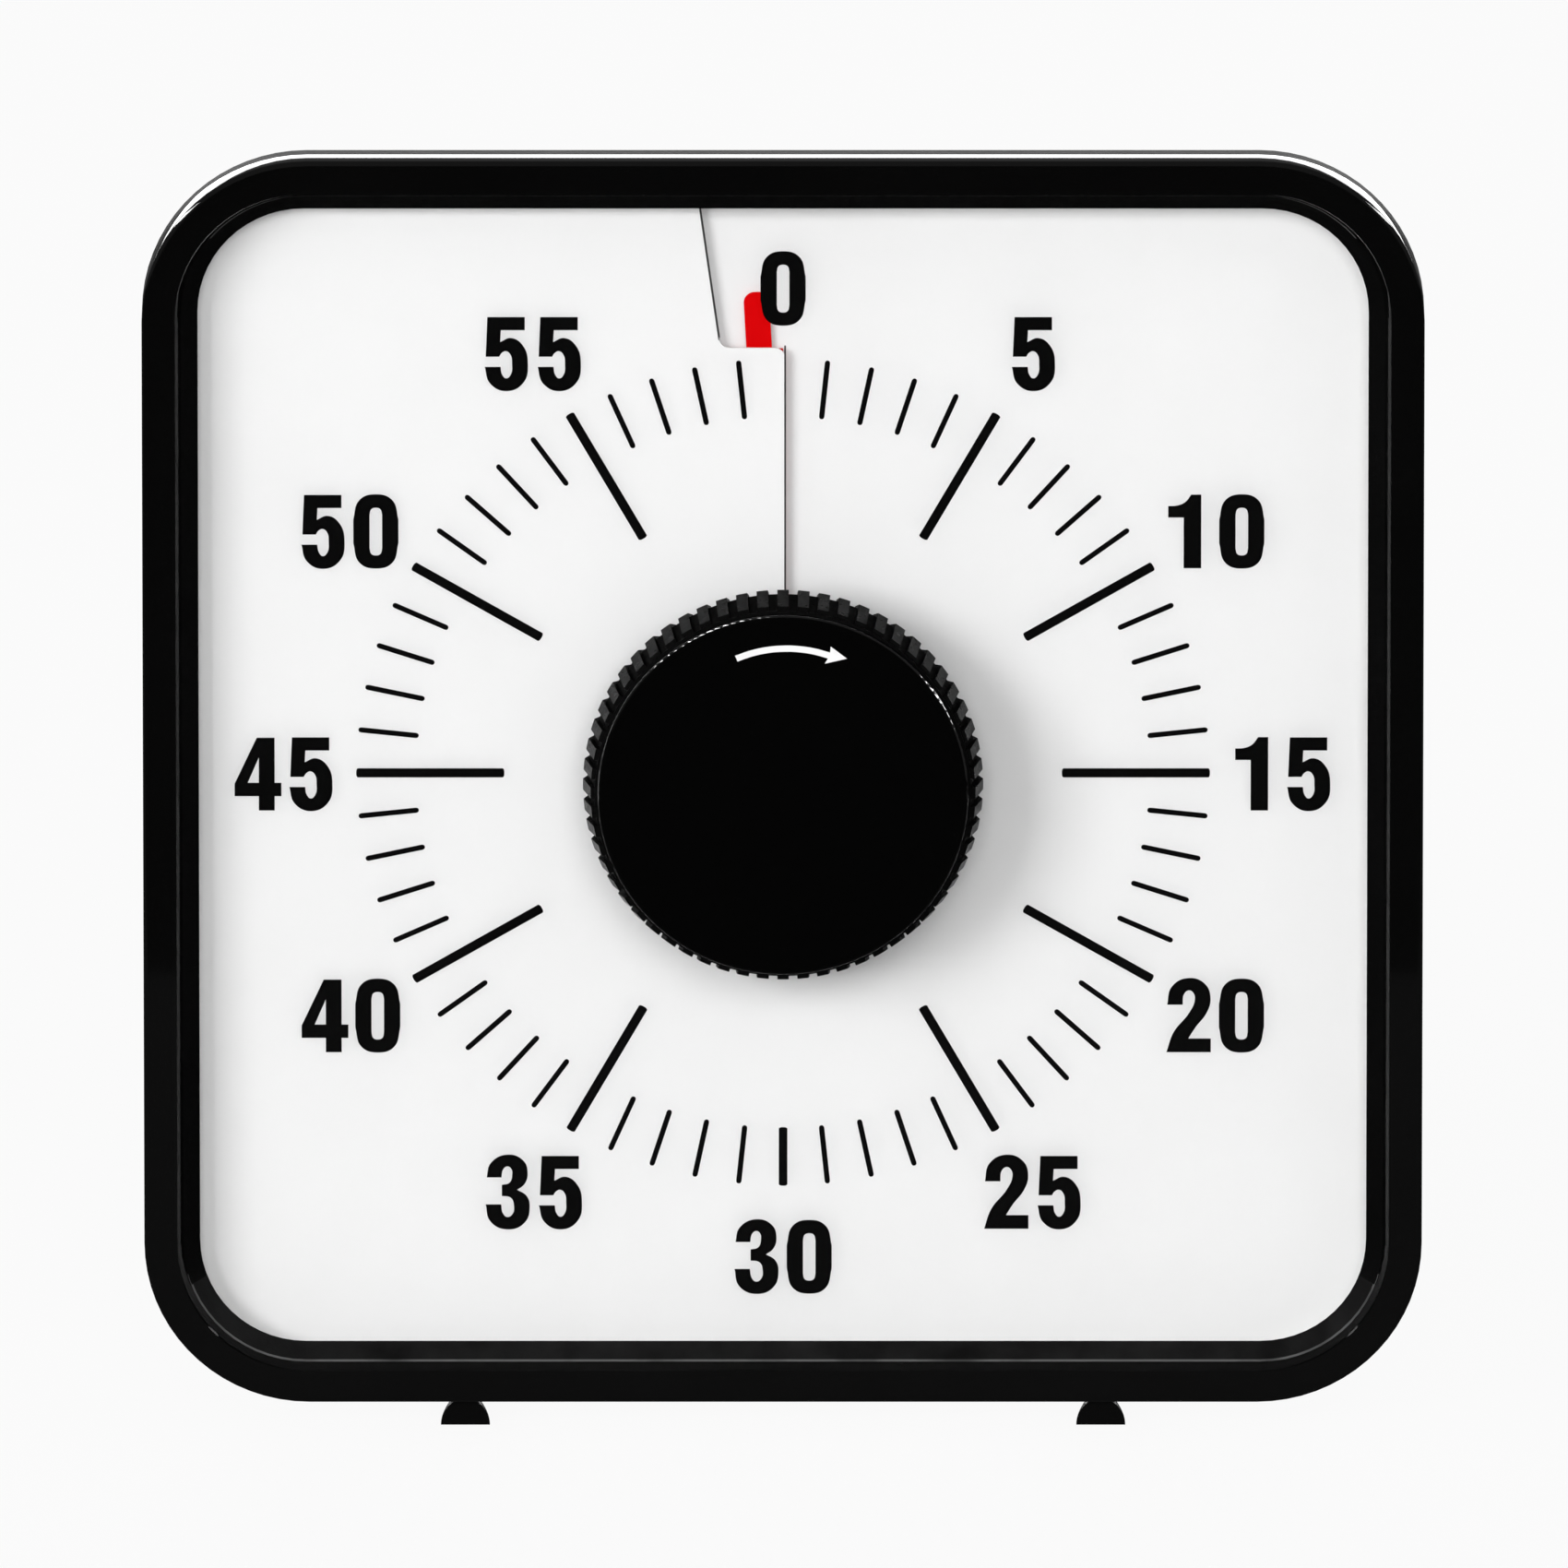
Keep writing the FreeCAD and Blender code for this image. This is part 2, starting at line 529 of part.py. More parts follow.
def make_rear_shell():
    body = doc.addObject("PartDesign::Body", "shell_body")
    rim = rounded_square(body, "rim_outline", "frame_depth", "rim_side", "rim_corner")
    pad(body, rim, "rim_back - frame_depth", "shell_rim")
    near = rounded_square(body, "slope_near", "rim_back", "rim_side", "rim_corner")
    far = rounded_square(body, "slope_far", "shell_back", "shell_back_side", "shell_back_corner")
    loft(body, "AdditiveLoft", near, far, "shell_slope")
    room = rounded_square(body, "rim_room", "frame_depth", "rim_inner_side", "rim_inner_corner")
    pocket(body, room, "rim_back - frame_depth", "shell_mouth")
    near = rounded_square(body, "room_near", "rim_back", "rim_inner_side", "rim_inner_corner")
    far = rounded_square(body, "room_far", "shell_inside", "shell_inner_side", "shell_inner_corner")
    loft(body, "SubtractiveLoft", near, far, "shell_room")

    added = []
    removed = []
    for number, (x, z) in enumerate(corner_places("post_spread")):
        sx, sz = math.copysign(1, x), math.copysign(1, z)
        at = (f"{sx:.0f} * post_spread", f"{sz:.0f} * post_spread")
        added.append(drum(f"boss_{number}", "boss_radius", "post_end", "shell_inside - post_end + 0.5", *at))
        removed.append(drum(f"boss_bore_{number}", "bore_clear", "post_end - 1", "shell_back", *at))
        removed.append(drum(f"boss_sink_{number}", "head_clear", "screw_seat", "shell_back", *at))
    for number, (x, z) in enumerate(corner_places("magnet_spread")):
        sx, sz = math.copysign(1, x), math.copysign(1, z)
        at = (f"{sx:.0f} * magnet_spread", f"{sz:.0f} * magnet_spread")
        depth = "magnet_front - magnet_seat_wall"
        added.append(drum(f"magnet_seat_{number}", "magnet_boss", depth, "magnet_thick", *at))
        removed.append(drum(f"magnet_pocket_{number}", "magnet_pocket", "magnet_front", "shell_back", *at))
    removed.append(
        drum("keyhole_entry_cut", "keyhole_entry", "shell_inside - 1", "shell_back", "0", "keyhole_height"))
    top = "keyhole_height + keyhole_rise"
    removed.append(drum("keyhole_end_cut", "keyhole_slot", "shell_inside - 1", "shell_back", "0", top))
    slot = doc.addObject("Part::Box", "keyhole_slot_cut")
    bind(slot, "Length", "2 * keyhole_slot")
    bind(slot, "Width", "shell_back")
    bind(slot, "Height", "keyhole_rise")
    bind(slot, "Placement.Base.x", "-keyhole_slot")
    bind(slot, "Placement.Base.y", "shell_inside - 1")
    bind(slot, "Placement.Base.z", "keyhole_height")
    removed.append(slot)
    for side in (-1, 1):
        boss = doc.addObject("Part::Cylinder", f"foot_boss_{side + 1}")
        bind(boss, "Radius", "foot_boss")
        bind(boss, "Height", "(case_side - rim_inner_side) / 2 + foot_screw_grip")
        bind(boss, "Placement.Base.x", f"{side} * foot_spread")
        bind(boss, "Placement.Base.y", "foot_pivot")
        bind(boss, "Placement.Base.z", "case_bottom")
        added.append(boss)
        bore = doc.addObject("Part::Cylinder", f"foot_bore_{side + 1}")
        bind(bore, "Radius", "foot_screw_radius + running_fit")
        bind(bore, "Height", "foot_screw_grip + slip")
        bind(bore, "Placement.Base.x", f"{side} * foot_spread")
        bind(bore, "Placement.Base.y", "foot_pivot")
        bind(bore, "Placement.Base.z", "case_bottom")
        removed.append(bore)
    skirt_block = slab("skirt_block", "skirt_back + slip")
    skirt_room = cut("skirt_room", skirt_block, [slab("front_block", "frame_depth")])
    removed.append(skirt_room)
    node(cut("rear_shell_cut", fuse("shell_solid", [body] + added), removed), "rear_shell")


def slab(name, back):
    """The space inside the rear shell's rim, from the frame's face to a depth."""
    body = doc.addObject("PartDesign::Body", name)
    outline = rounded_square(body, name + "_outline", "0", "rim_inner_side", "rim_inner_corner")
    pad(body, outline, back, name + "_pad")
    return body


def cross_recess(radius, depth, front):
    """A cross-shaped driver recess, as a tool to cut away."""
    arm = radius * 0.24
    long = radius * 0.62
    across = Part.makeBox(2 * long, depth, 2 * arm, V(-long, front, -arm))
    upright = Part.makeBox(2 * arm, depth, 2 * long, V(-arm, front, -long))
    return across.fuse(upright)


def screw(head, head_height, shank, length):
    """A screw with its head's underside at the origin, the shank to the front and the head to the back."""
    top = rod(head, 0, head_height)
    rim = [edge for edge in top.Edges if abs(edge.BoundBox.YMin - head_height) < 0.01]
    top = top.makeFillet(head_height * 0.35, [edge for edge in rim if len(edge.Vertexes) == 1])
    top = top.cut(cross_recess(head, head_height, head_height * 0.5))
    return top.fuse(rod(shank, -length, 0)).removeSplitter()


def make_case_screws():
    length = size("boss_web") + size("case_screw_grip")
    one = screw(size("case_screw_head"), size("case_screw_head_height"), size("case_screw_radius"), length)
    copies = [one.translated(V(x, size("screw_seat"), z)) for x, z in corner_places("post_spread")]
    coded("case_screws", Part.makeCompound(copies))


def make_magnets():
    one = rod(size("magnet_radius"), size("magnet_front"), size("shell_back"))
    edges = [edge for edge in one.Edges if len(edge.Vertexes) == 1]
    one = one.makeFillet(0.3, edges)
    copies = [one.translated(V(x, 0, z)) for x, z in corner_places("magnet_spread")]
    coded("back_magnets", Part.makeCompound(copies))


# Dial: white spiral sheet, red disc, carrier
def spiral_sheet(inner, outer, start, end, low, thick):
    """A sheet that winds about the axis. Degrees run clockwise from the top, seen from the front, and the
    front surface lies at the depth low at 0 degrees and one pitch nearer a turn later."""
    count = max(5, int((end - start) / 6) + 1)
    rails = []
    for radius in (inner, outer):
        points = []
        for step in range(count):
            degrees = start + (end - start) * step / (count - 1)
            turn = math.radians(degrees)
            depth = low - size("sheet_pitch") * degrees / 360
            points.append(V(radius * math.sin(turn), depth, radius * math.cos(turn)))
        curve = Part.BSplineCurve()
        curve.interpolate(points)
        rails.append(curve.toShape())
    return Part.makeRuledSurface(rails[0], rails[1]).extrude(V(0, thick, 0))


def square_prism(side, corner, front, back):
    """A centred square with rounded corners between two depths, as a plain shape."""
    half = side / 2
    block = Part.makeBox(side, back - front, side, V(-half, front, -half))
    upright = [edge for edge in block.Edges if abs(edge.tangentAt(edge.FirstParameter).y) > 0.9]
    return block.makeFillet(corner, upright)


def notch_tool(front, back):
    """What is cut from the high end of the sheet: all to the right of the slit, and the notch above it."""
    far = size("case_side")
    slit = size("slit_shift")
    low = size("notch_reach")
    left = -size("notch_left")
    lean = math.tan(math.radians(size("notch_slant")))
    start = left - size("notch_round")
    top_x = start - lean * (far - low)
    points = [(slit, 0), (slit, low), (start, low), (top_x, far), (far, far), (far, 0)]
    tool = plate(points, front, back)
    upright = [edge for edge in tool.Edges if abs(edge.tangentAt(edge.FirstParameter).y) > 0.9]
    inner = [edge for edge in upright if abs(edge.BoundBox.Center.z - low) < 0.01]
    return tool.makeFillet(size("notch_round"), inner)


def make_dial_sheet():
    low = size("dial_low")
    far = size("dial_side")
    sheet_shape = spiral_sheet(size("dial_hole"), far, -size("sheet_underlap"), 363, low, size("sheet_thick"))
    prism = square_prism(far, size("dial_corner"), 0, low + size("sheet_pitch") * 2)
    tool = notch_tool(0, low - size("sheet_pitch") / 2)
    coded("dial_sheet", sheet_shape.common(prism).cut(tool))


def make_red_disc():
    low = size("dial_low") - size("sheet_pitch") / 2
    reach = size("tab_reach")
    inner = size("hub_radius") - 1.0
    whole = spiral_sheet(inner, reach + 5, -size("disc_span"), 0, low, size("sheet_thick"))
    deep = low + size("sheet_pitch") * 2
    outline = rod(size("disc_radius"), 0, deep)
    half = size("tab_width") / 2
    root = size("disc_radius") - 4
    tab = Part.makeBox(2 * half, deep, reach - root, V(-half, 0, root))
    tips = [
        edge for edge in tab.Edges
        if abs(edge.tangentAt(edge.FirstParameter).y) > 0.9 and edge.BoundBox.ZMin > reach - 0.1
    ]
    tab = tab.makeFillet(size("tab_round"), tips)
    tab.rotate(V(0, 0, 0), V(0, 1, 0), -size("tab_angle"))
    coded("red_disc", whole.common(outline.fuse(tab)))


def make_disc_hub():
    middle = size("dial_low") - size("sheet_pitch") / 2 + size("sheet_pitch") * size("disc_span") / 720
    front = middle - size("hub_length") / 2
    back = middle + size("hub_length") / 2
    sleeve = rod(size("hub_radius"), front, back)
    groove = spiral_sheet(
        size("hub_radius") - 1.0, size("hub_radius") + 2, -size("disc_span"), 0,
        size("dial_low") - size("sheet_pitch") / 2, size("sheet_thick"))
    bore = flatted_rod(size("arbor_radius") + size("running_fit"), size("arbor_flat") + size("running_fit"),
                       front - 1, back + 1)
    coded("disc_hub", sleeve.cut(groove).cut(bore))


def flatted_rod(radius, flat, front, back):
    """A rod with one drive flat on its upper side."""
    wide = 2 * radius
    return rod(radius, front, back).cut(Part.makeBox(2 * wide, back - front, wide, V(-wide, front, flat)))


def make_dial_carrier():
    """Tray behind the dial: a spiral ramp that shapes the white sheet, round a well for the red disc."""
    cover = size("cover_side")
    floor = size("floor_front")
    back = size("floor_back")
    outer = square_prism(cover, size("cover_corner"), size("cover_back"), back)
    room = size("slip")
    bed = square_prism(
        size("dial_side") + 2 * room, size("dial_corner") + room, 0, size("dial_low") + size("sheet_pitch"))
    under = size("sheet_underlap")
    start = size("dial_low") + size("sheet_thick")
    ramp = spiral_sheet(size("dial_hole"), size("case_side"), 0, 360, start, size("sheet_pitch") * 3)
    ledge = outer.common(bed).common(ramp)
    far = size("case_side")
    step_back = start + size("sheet_pitch") * under / 360
    step = plate([(0, 0), polar(far, 90), polar(far, 90 + under)], 0, step_back)
    tray = outer.cut(bed).fuse(ledge.cut(step))
    tray = tray.fuse(square_prism(cover, size("cover_corner"), floor, back))
    tray = tray.cut(rod(size("well_radius"), 0, floor)).cut(rod(size("carrier_hole"), 0, back + 1))
    posts = [
        rod(size("post_radius"), back - 0.5, size("post_end"), x, z) for x, z in corner_places("post_spread")
    ]
    tray = tray.fuse(posts)
    grip = size("case_screw_grip") + 1
    pilots = [
        rod(size("bore_clear"), size("post_end") - grip, size("post_end") + 1, x, z)
        for x, z in corner_places("post_spread")
    ]
    tray = tray.cut(Part.makeCompound(pilots))
    sinks = [countersink(x, z) for x, z in pillar_places()]
    tray = tray.cut(Part.makeCompound(sinks))
    post = rod(bell_screw_radius(), floor - 1, back + 1, -size("bell_left"), -size("bell_drop"))
    coded("dial_carrier", tray.cut(post).removeSplitter())


# Movement
def bell_screw_radius():
    return size("pillar_screw_radius") + size("running_fit")


def pillar_places():
    """The pillars, anticlockwise from the lower left."""
    inset = size("plate_inset")
    left, right = inset - size("plate_left"), size("plate_right") - inset
    low, high = inset - size("plate_low"), size("plate_high") - inset
    return [(left, low), (right, low), (right, high), (left, high)]


def sink_height():
    return size("carrier_floor") * 0.7


def countersink(x, z, grow=None):
    """A countersunk head and its shank down to the pillar, from the carrier's floor backwards."""
    clear = size("running_fit") if grow is None else grow
    front = size("floor_front")
    head = size("pillar_screw_head") + clear
    shank = size("pillar_screw_radius") + clear
    cone = tapered(head, shank, front, front + sink_height(), x, z)
    return cone.fuse(rod(shank, front, size("floor_back") + size("plate_thick"), x, z))




def make_plates():
    """Front and rear movement plates, with pivot holes where the arbors run."""
    outline = [
        (-size("plate_left"), -size("plate_low")), (size("plate_right"), -size("plate_low")),
        (size("plate_right"), size("plate_high")), (-size("plate_left"), size("plate_high")),
    ]
    fit = size("running_fit")
    for label, front, main in (
        ("movement_front_plate", size("floor_back"), size("arbor_radius")),
        ("movement_rear_plate", size("rear_plate_front"), size("arbor_pivot")),
    ):
        back = front + size("plate_thick")
        shape = plate(outline, front, back)
        upright = [edge for edge in shape.Edges if abs(edge.tangentAt(edge.FirstParameter).y) > 0.9]
        shape = shape.makeFillet(size("plate_inset") * 0.8, upright)
        holes = [rod(main + fit, front - 1, back + 1)]
        for places, radius in ((pillar_places(), "pillar_screw_radius"), (pivot_places(), "pivot_radius")):
            holes += [rod(size(radius) + fit, front - 1, back + 1, x, z) for x, z in places]
        coded(label, shape.cut(Part.makeCompound(holes)))


def train_places():
    """Second, third and escape arbors."""
    second = (size("second_right"), 0.0)
    third = polar(size("second_third"), size("third_bearing"), *second)
    escape = polar(size("third_escape"), size("escape_bearing"), *third)
    return second, third, escape


def pallet_place():
    x, z = train_places()[2]
    return x - size("pallet_distance"), z


def balance_place():
    return -size("balance_left"), size("balance_height")


def hammer_place():
    return -size("hammer_left"), -size("hammer_drop")


def pivot_places():
    return [*train_places(), pallet_place(), balance_place(), hammer_place()]


def make_pillars():
    front = size("plate_front_back")
    back = size("rear_plate_front")
    grip = size("pillar_screw_grip") + size("drill_past")
    bore = size("pillar_screw_radius") + size("running_fit")
    pillars = []
    front_screws = []
    rear_screws = []
    for x, z in pillar_places():
        pillar = rod(size("pillar_radius"), front, back, x, z)
        pillar = pillar.cut(rod(bore, front - 1, front + grip, x, z))
        pillars.append(pillar.cut(rod(bore, back - grip, back + 1, x, z)))
        shank = rod(size("pillar_screw_radius"), front - 0.1, front + size("pillar_screw_grip"), x, z)
        front_screws.append(countersink(x, z, 0.0).fuse(shank).removeSplitter())
        one = screw(size("pillar_screw_head"), size("pillar_screw_head_height"), size("pillar_screw_radius"),
                    size("plate_thick") + size("pillar_screw_grip"))
        rear_screws.append(one.translated(V(x, size("rear_plate_back"), z)))
    coded("plate_pillars", Part.makeCompound(pillars))
    coded("pillar_front_screws", Part.makeCompound(front_screws))
    coded("pillar_rear_screws", Part.makeCompound(rear_screws))


# Gear teeth: heights in modules, widths in parts of the pitch
ADDENDUM = 0.85
DEDENDUM = 1.15
RIM_MODULES = 3.2
TOOTH_SHARE = 0.40
LEAF_SHARE = 0.36
ROOT_WIDER = 0.16
TIP_NARROWER = 0.2


def gear_face_points(teeth, module, phase, x, z, share=TOOTH_SHARE):
    """Outline of a spur gear with a tooth centred at the angle phase. Share is a tooth's part of the pitch."""
    pitch = 360.0 / teeth
    radius = module * teeth / 2
    root, tip = radius - DEDENDUM * module, radius + ADDENDUM * module
    points = []
    for number in range(teeth):
        middle = phase + number * pitch
        points += [
            polar(root, middle - pitch * (share + ROOT_WIDER) / 2, x, z),
            polar(radius, middle - pitch * share / 2, x, z),
            polar(tip, middle - pitch * (share - TIP_NARROWER) / 2, x, z),
            polar(tip, middle + pitch * (share - TIP_NARROWER) / 2, x, z),
            polar(radius, middle + pitch * share / 2, x, z),
            polar(root, middle + pitch * (share + ROOT_WIDER) / 2, x, z),
        ]
    return points


def mesh_phase(phase, teeth, bearing, other_teeth):
    """Phase of the gear that meshes with one at the given bearing from it."""
    pitch = 360.0 / teeth
    part = ((bearing - phase) / pitch) % 1.0
    return bearing + 180 + (part - 0.5) * 360.0 / other_teeth


def wheel(teeth, module, phase, place, front, thick, bore, crossings, hub):
    """A brass wheel with crossed-out arms."""
    shape = plate(gear_face_points(teeth, module, phase, *place), front, front + thick)
    radius = module * teeth / 2
    outer = radius - RIM_MODULES * module
    inner = hub + size("hub_wall")
    gaps = []
    for number in range(crossings):
        turn = 360.0 / crossings
        half = turn / 2 - math.degrees(size("arm_half") / inner)
        middle = number * turn + turn / 2
        swing = [middle + half * part / 4 for part in range(-4, 5)]
        tight = half * 0.75
        back_swing = [middle + tight * part / 3 for part in range(3, -4, -1)]
        outline = [polar(outer, angle, *place) for angle in swing]
        outline += [polar(inner, angle, *place) for angle in back_swing]
        gaps.append(plate(outline, front - 1, front + thick + 1))
    shape = shape.cut(Part.makeCompound(gaps))
    return shape.cut(rod(bore, front - 1, front + thick + 1, *place))


def train_layers():
    """Front depth of each layer of the train."""
    front = size("plate_front_back")
    main = front + size("train_gap")
    second = main + size("main_wheel_thick") + size("train_gap")
    third = second + size("wheel_thick") + size("third_gap")
    escape = third + size("wheel_thick") + size("escape_gap")
    return main, second, third, escape


def arbor(radius, place):
    """A plain arbor between the plates, with a pivot in each."""
    front = size("plate_front_back") + size("end_shake")
    back = size("rear_plate_front") - size("end_shake")
    pivot = rod(size("pivot_radius"), front - size("plate_thick"), back + size("plate_thick"), *place)
    return rod(radius, front, back, *place).fuse(pivot)


def arbor_with_pinion(place, points, driver_front, driver_back, wheel_front):
    """A train arbor with its pivots, its leaves before the driving wheel and the seat for its own wheel."""
    over = size("leaf_overhang")
    seat = size("seat_step")
    shape = arbor(size("train_arbor"), place).fuse(plate(points, driver_front - over, driver_back + over))
    end = wheel_front + size("wheel_thick") + over
    return shape.fuse(rod(size("train_arbor") + seat, wheel_front - seat, end, *place))


# Escape wheel's teeth: degrees of the tip and of the gullet, and the gullet's part of the radius
ESCAPE_TIP = 3
ESCAPE_GULLET = (9, 20)
ESCAPE_VALLEY = 0.72


def make_train():
    main_front, second_front, third_front, escape_front = train_layers()
    second, third, escape = train_places()
    thin = size("wheel_thick")
    seat = size("train_arbor") + size("seat_step")
    fit = size("press_fit")
    main_teeth = int(size("main_teeth"))
    second_leaves, second_teeth = int(size("second_pinion_teeth")), int(size("second_teeth"))
    third_leaves, third_teeth = int(size("third_pinion_teeth")), int(size("third_teeth"))
    escape_leaves = int(size("escape_pinion_teeth"))

    coded("main_wheel", wheel(
        main_teeth, size("main_module"), 0.0, (0.0, 0.0), main_front, size("main_wheel_thick"),
        size("arbor_radius") + fit, 5, size("arbor_radius") + 1.5))

    phase = mesh_phase(0.0, main_teeth, 0.0, second_leaves)
    leaves = gear_face_points(second_leaves, size("main_module"), phase, *second, share=LEAF_SHARE)
    coded("second_pinion", arbor_with_pinion(
        second, leaves, main_front, main_front + size("main_wheel_thick"), second_front))
    coded("second_wheel", wheel(
        second_teeth, size("second_module"), 0.0, second, second_front, thin, seat + fit, 4, seat))

    phase = mesh_phase(0.0, second_teeth, size("third_bearing"), third_leaves)
    leaves = gear_face_points(third_leaves, size("second_module"), phase, *third, share=LEAF_SHARE)
    coded("third_pinion", arbor_with_pinion(third, leaves, second_front, second_front + thin, third_front))
    coded("third_wheel", wheel(
        third_teeth, size("third_module"), 0.0, third, third_front, thin, seat + fit, 4, seat))

    phase = mesh_phase(0.0, third_teeth, size("escape_bearing"), escape_leaves)
    leaves = gear_face_points(escape_leaves, size("third_module"), phase, *escape, share=LEAF_SHARE)
    coded("escape_pinion", arbor_with_pinion(escape, leaves, third_front, third_front + thin, escape_front))
    teeth = int(size("escape_teeth"))
    reach = size("escape_radius")
    valley = reach * ESCAPE_VALLEY
    points = []
    for number in range(teeth):
        angle = 360.0 * number / teeth
        points += [polar(reach, angle, *escape), polar(reach, angle + ESCAPE_TIP, *escape)]
        points += [polar(valley, angle + turn, *escape) for turn in ESCAPE_GULLET]
    star = plate(points, escape_front, escape_front + thin)
    coded("escape_wheel", star.cut(rod(seat + fit, 0, 50, *escape)))


# Pallet pins and fork tines, in degrees from their lines of centres
PALLET_SWING = 38
FORK_SWING = 4.6
HAIR_TURNS = 6


def make_escapement():
    escape_front = train_layers()[3]
    thin = size("wheel_thick")
    pallet = pallet_place()
    balance = balance_place()
    escape = train_places()[2]
    front = size("plate_front_back") + size("end_shake")

    # the lever lies behind the escape wheel, and its two pins stand forward beside the wheel's tips
    lever_front = escape_front + thin + size("lever_gap")
    lever_back = lever_front + size("lever_thick")
    gap = size("pallet_gap")
    pin_radius = size("pallet_pin")
    half = size("lever_half")
    ring = size("escape_radius") + gap + pin_radius
    pins = [polar(ring, 180 + swing, *escape) for swing in (-PALLET_SWING, PALLET_SWING)]
    to_balance = math.degrees(math.atan2(balance[1] - pallet[1], balance[0] - pallet[0]))
    far = math.hypot(balance[0] - pallet[0], balance[1] - pallet[1])
    roller = size("roller_radius")
    shape = rod(size("lever_hub"), lever_front, lever_back, *pallet)
    for x, z in pins:
        shape = shape.fuse(bar(pallet, (x, z), half, lever_front, lever_back))
        shape = shape.fuse(rod(half + 0.1, lever_front, lever_back, x, z))
    fork_root = polar(far - 2 * roller, to_balance, *pallet)
    shape = shape.fuse(bar(pallet, fork_root, half, lever_front, lever_back))
    for side in (-1, 1):
        tip = polar(far - roller + half, to_balance + side * FORK_SWING, *pallet)
        shape = shape.fuse(bar(fork_root, tip, half / 2, lever_front, lever_back))
    radius = size("staff_radius")
    holes = [rod(pin_radius + size("press_fit"), lever_front - 1, lever_back + 1, x, z) for x, z in pins]
    coded("pallet_lever", shape.fuse(arbor(radius, pallet)).cut(Part.makeCompound(holes)))
    coded("pallet_pins", Part.makeCompound([rod(pin_radius, escape_front, lever_back, x, z) for x, z in pins]))

    staff = arbor(radius, balance).fuse(rod(roller, lever_back + 0.25, lever_back + 0.85, *balance))
    impulse = polar(roller * 0.75, to_balance + 180, *balance)
    staff = staff.fuse(rod(size("impulse_pin"), lever_front, lever_back + 0.5, *impulse))
    coded("balance_staff", staff)

    wheel_back = escape_front - size("balance_gap")
    wheel_front = wheel_back - size("balance_thick")
    reach = size("balance_radius")
    rim = rod(reach, wheel_front, wheel_back, *balance)
    rim = rim.cut(rod(reach - size("balance_rim"), wheel_front - 1, wheel_back + 1, *balance))
    spoke_end = reach - size("balance_rim") / 2
    for angle in (30, 150, 270):
        tip = polar(spoke_end, angle, *balance)
        rim = rim.fuse(bar(balance, tip, half, wheel_front + 0.2, wheel_back - 0.2))
    rim = rim.fuse(rod(size("balance_hub"), wheel_front, wheel_back, *balance))
    bore = radius + size("press_fit")
    coded("balance_wheel", rim.cut(rod(bore, wheel_front - 1, wheel_back + 1, *balance)).removeSplitter())

    wide = size("hair_width")
    inner = size("hair_inner")
    step = size("hair_step")
    strip = size("hair_thick")
    spring_front = front + wide
    coil = spiral_strip(inner, step, HAIR_TURNS, strip, spring_front, spring_front + wide, *balance)
    collet = rod(inner - strip / 3, spring_front, spring_front + wide, *balance)
    corner = V(balance[0] + inner - strip, spring_front, balance[1] - strip)
    bridge = Part.makeBox(step, wide, 2 * strip, corner)
    coded("hairspring", collet.fuse(bridge).fuse(coil).cut(rod(bore, 0, 50, *balance)))
    stud_x = balance[0] + inner + step * HAIR_TURNS + radius
    stud = rod(size("stud_radius"), size("plate_front_back"), spring_front + wide + strip, stud_x, balance[1])
    coded("hairspring_stud", stud)


def bar(start, end, half, front, back):
    """A straight bar between two (x, z) points, with square ends."""
    along = V(end[0] - start[0], 0, end[1] - start[1])
    along.normalize()
    side = V(-along.z * half, 0, along.x * half)
    first, last = V(start[0], 0, start[1]), V(end[0], 0, end[1])
    corners = [first + side, last + side, last - side, first - side]
    return plate([(corner.x, corner.z) for corner in corners], front, back)


def spiral_strip(inner, step, turns, thick, front, back, x, z, lead=0.0):
    """A flat spiral strip of half circles, each half a step wider than the one before, from the angle lead."""
    inside = []
    outside = []
    for number in range(2 * int(turns)):
        radius = inner + step * number / 2
        shift = step / 2 if number % 2 else 0.0
        centre = polar(shift, lead, x, z)
        start = lead + 180 * (number % 2)
        for edges, reach in ((inside, radius), (outside, radius + thick)):
            ends = [polar(reach, start + swing, *centre) for swing in (0, 90, 180)]
            points = [V(px, front, pz) for px, pz in ends]
            edges.append(Part.Arc(*points).toShape())
    caps = []
    for end, first, last in ((0, inside[0], outside[0]), (-1, inside[-1], outside[-1])):
        caps.append(Part.makeLine(first.Vertexes[end].Point, last.Vertexes[end].Point))
    wire = Part.Wire(Part.__sortEdges__(inside + outside + caps))
    return Part.Face(wire).extrude(V(0, back - front, 0))


def make_mainspring():
    front = train_layers()[1] + size("wheel_thick") + size("seat_step")
    back = front + size("spring_width")
    turns = int(size("spring_turns"))
    strip = size("spring_strip")
    coil = spiral_strip(size("spring_inner"), size("spring_step"), turns, strip, front, back, 0.0, 0.0, -90.0)
    start = polar(size("spring_inner") + size("spring_step") * turns + strip / 2, -90)
    pillar = pillar_places()[1]
    hold = size("pillar_radius") + 0.1
    loop = rod(hold + strip, front, back, *pillar)
    reach = math.hypot(pillar[0] - start[0], pillar[1] - start[1])
    side = math.degrees(math.asin((hold + strip / 2) / reach))
    lean = math.degrees(math.atan2(pillar[1] - start[1], pillar[0] - start[0])) + side
    run = math.sqrt(reach ** 2 - (hold + strip / 2) ** 2)
    tail = bar(start, polar(run, lean, *start), strip / 2, front, back)
    knee = rod(strip * 0.6, front, back, *start)
    solid = coil.fuse([tail, loop, knee])
    coded("mainspring", solid.cut(rod(hold, front - 1, back + 1, *pillar)))


# Strike cam's notch: how deep as a part of the cam's radius, and the degrees of its drop and slope
CAM_DROP = 0.72
CAM_NOTCH = (178, 205, 184)


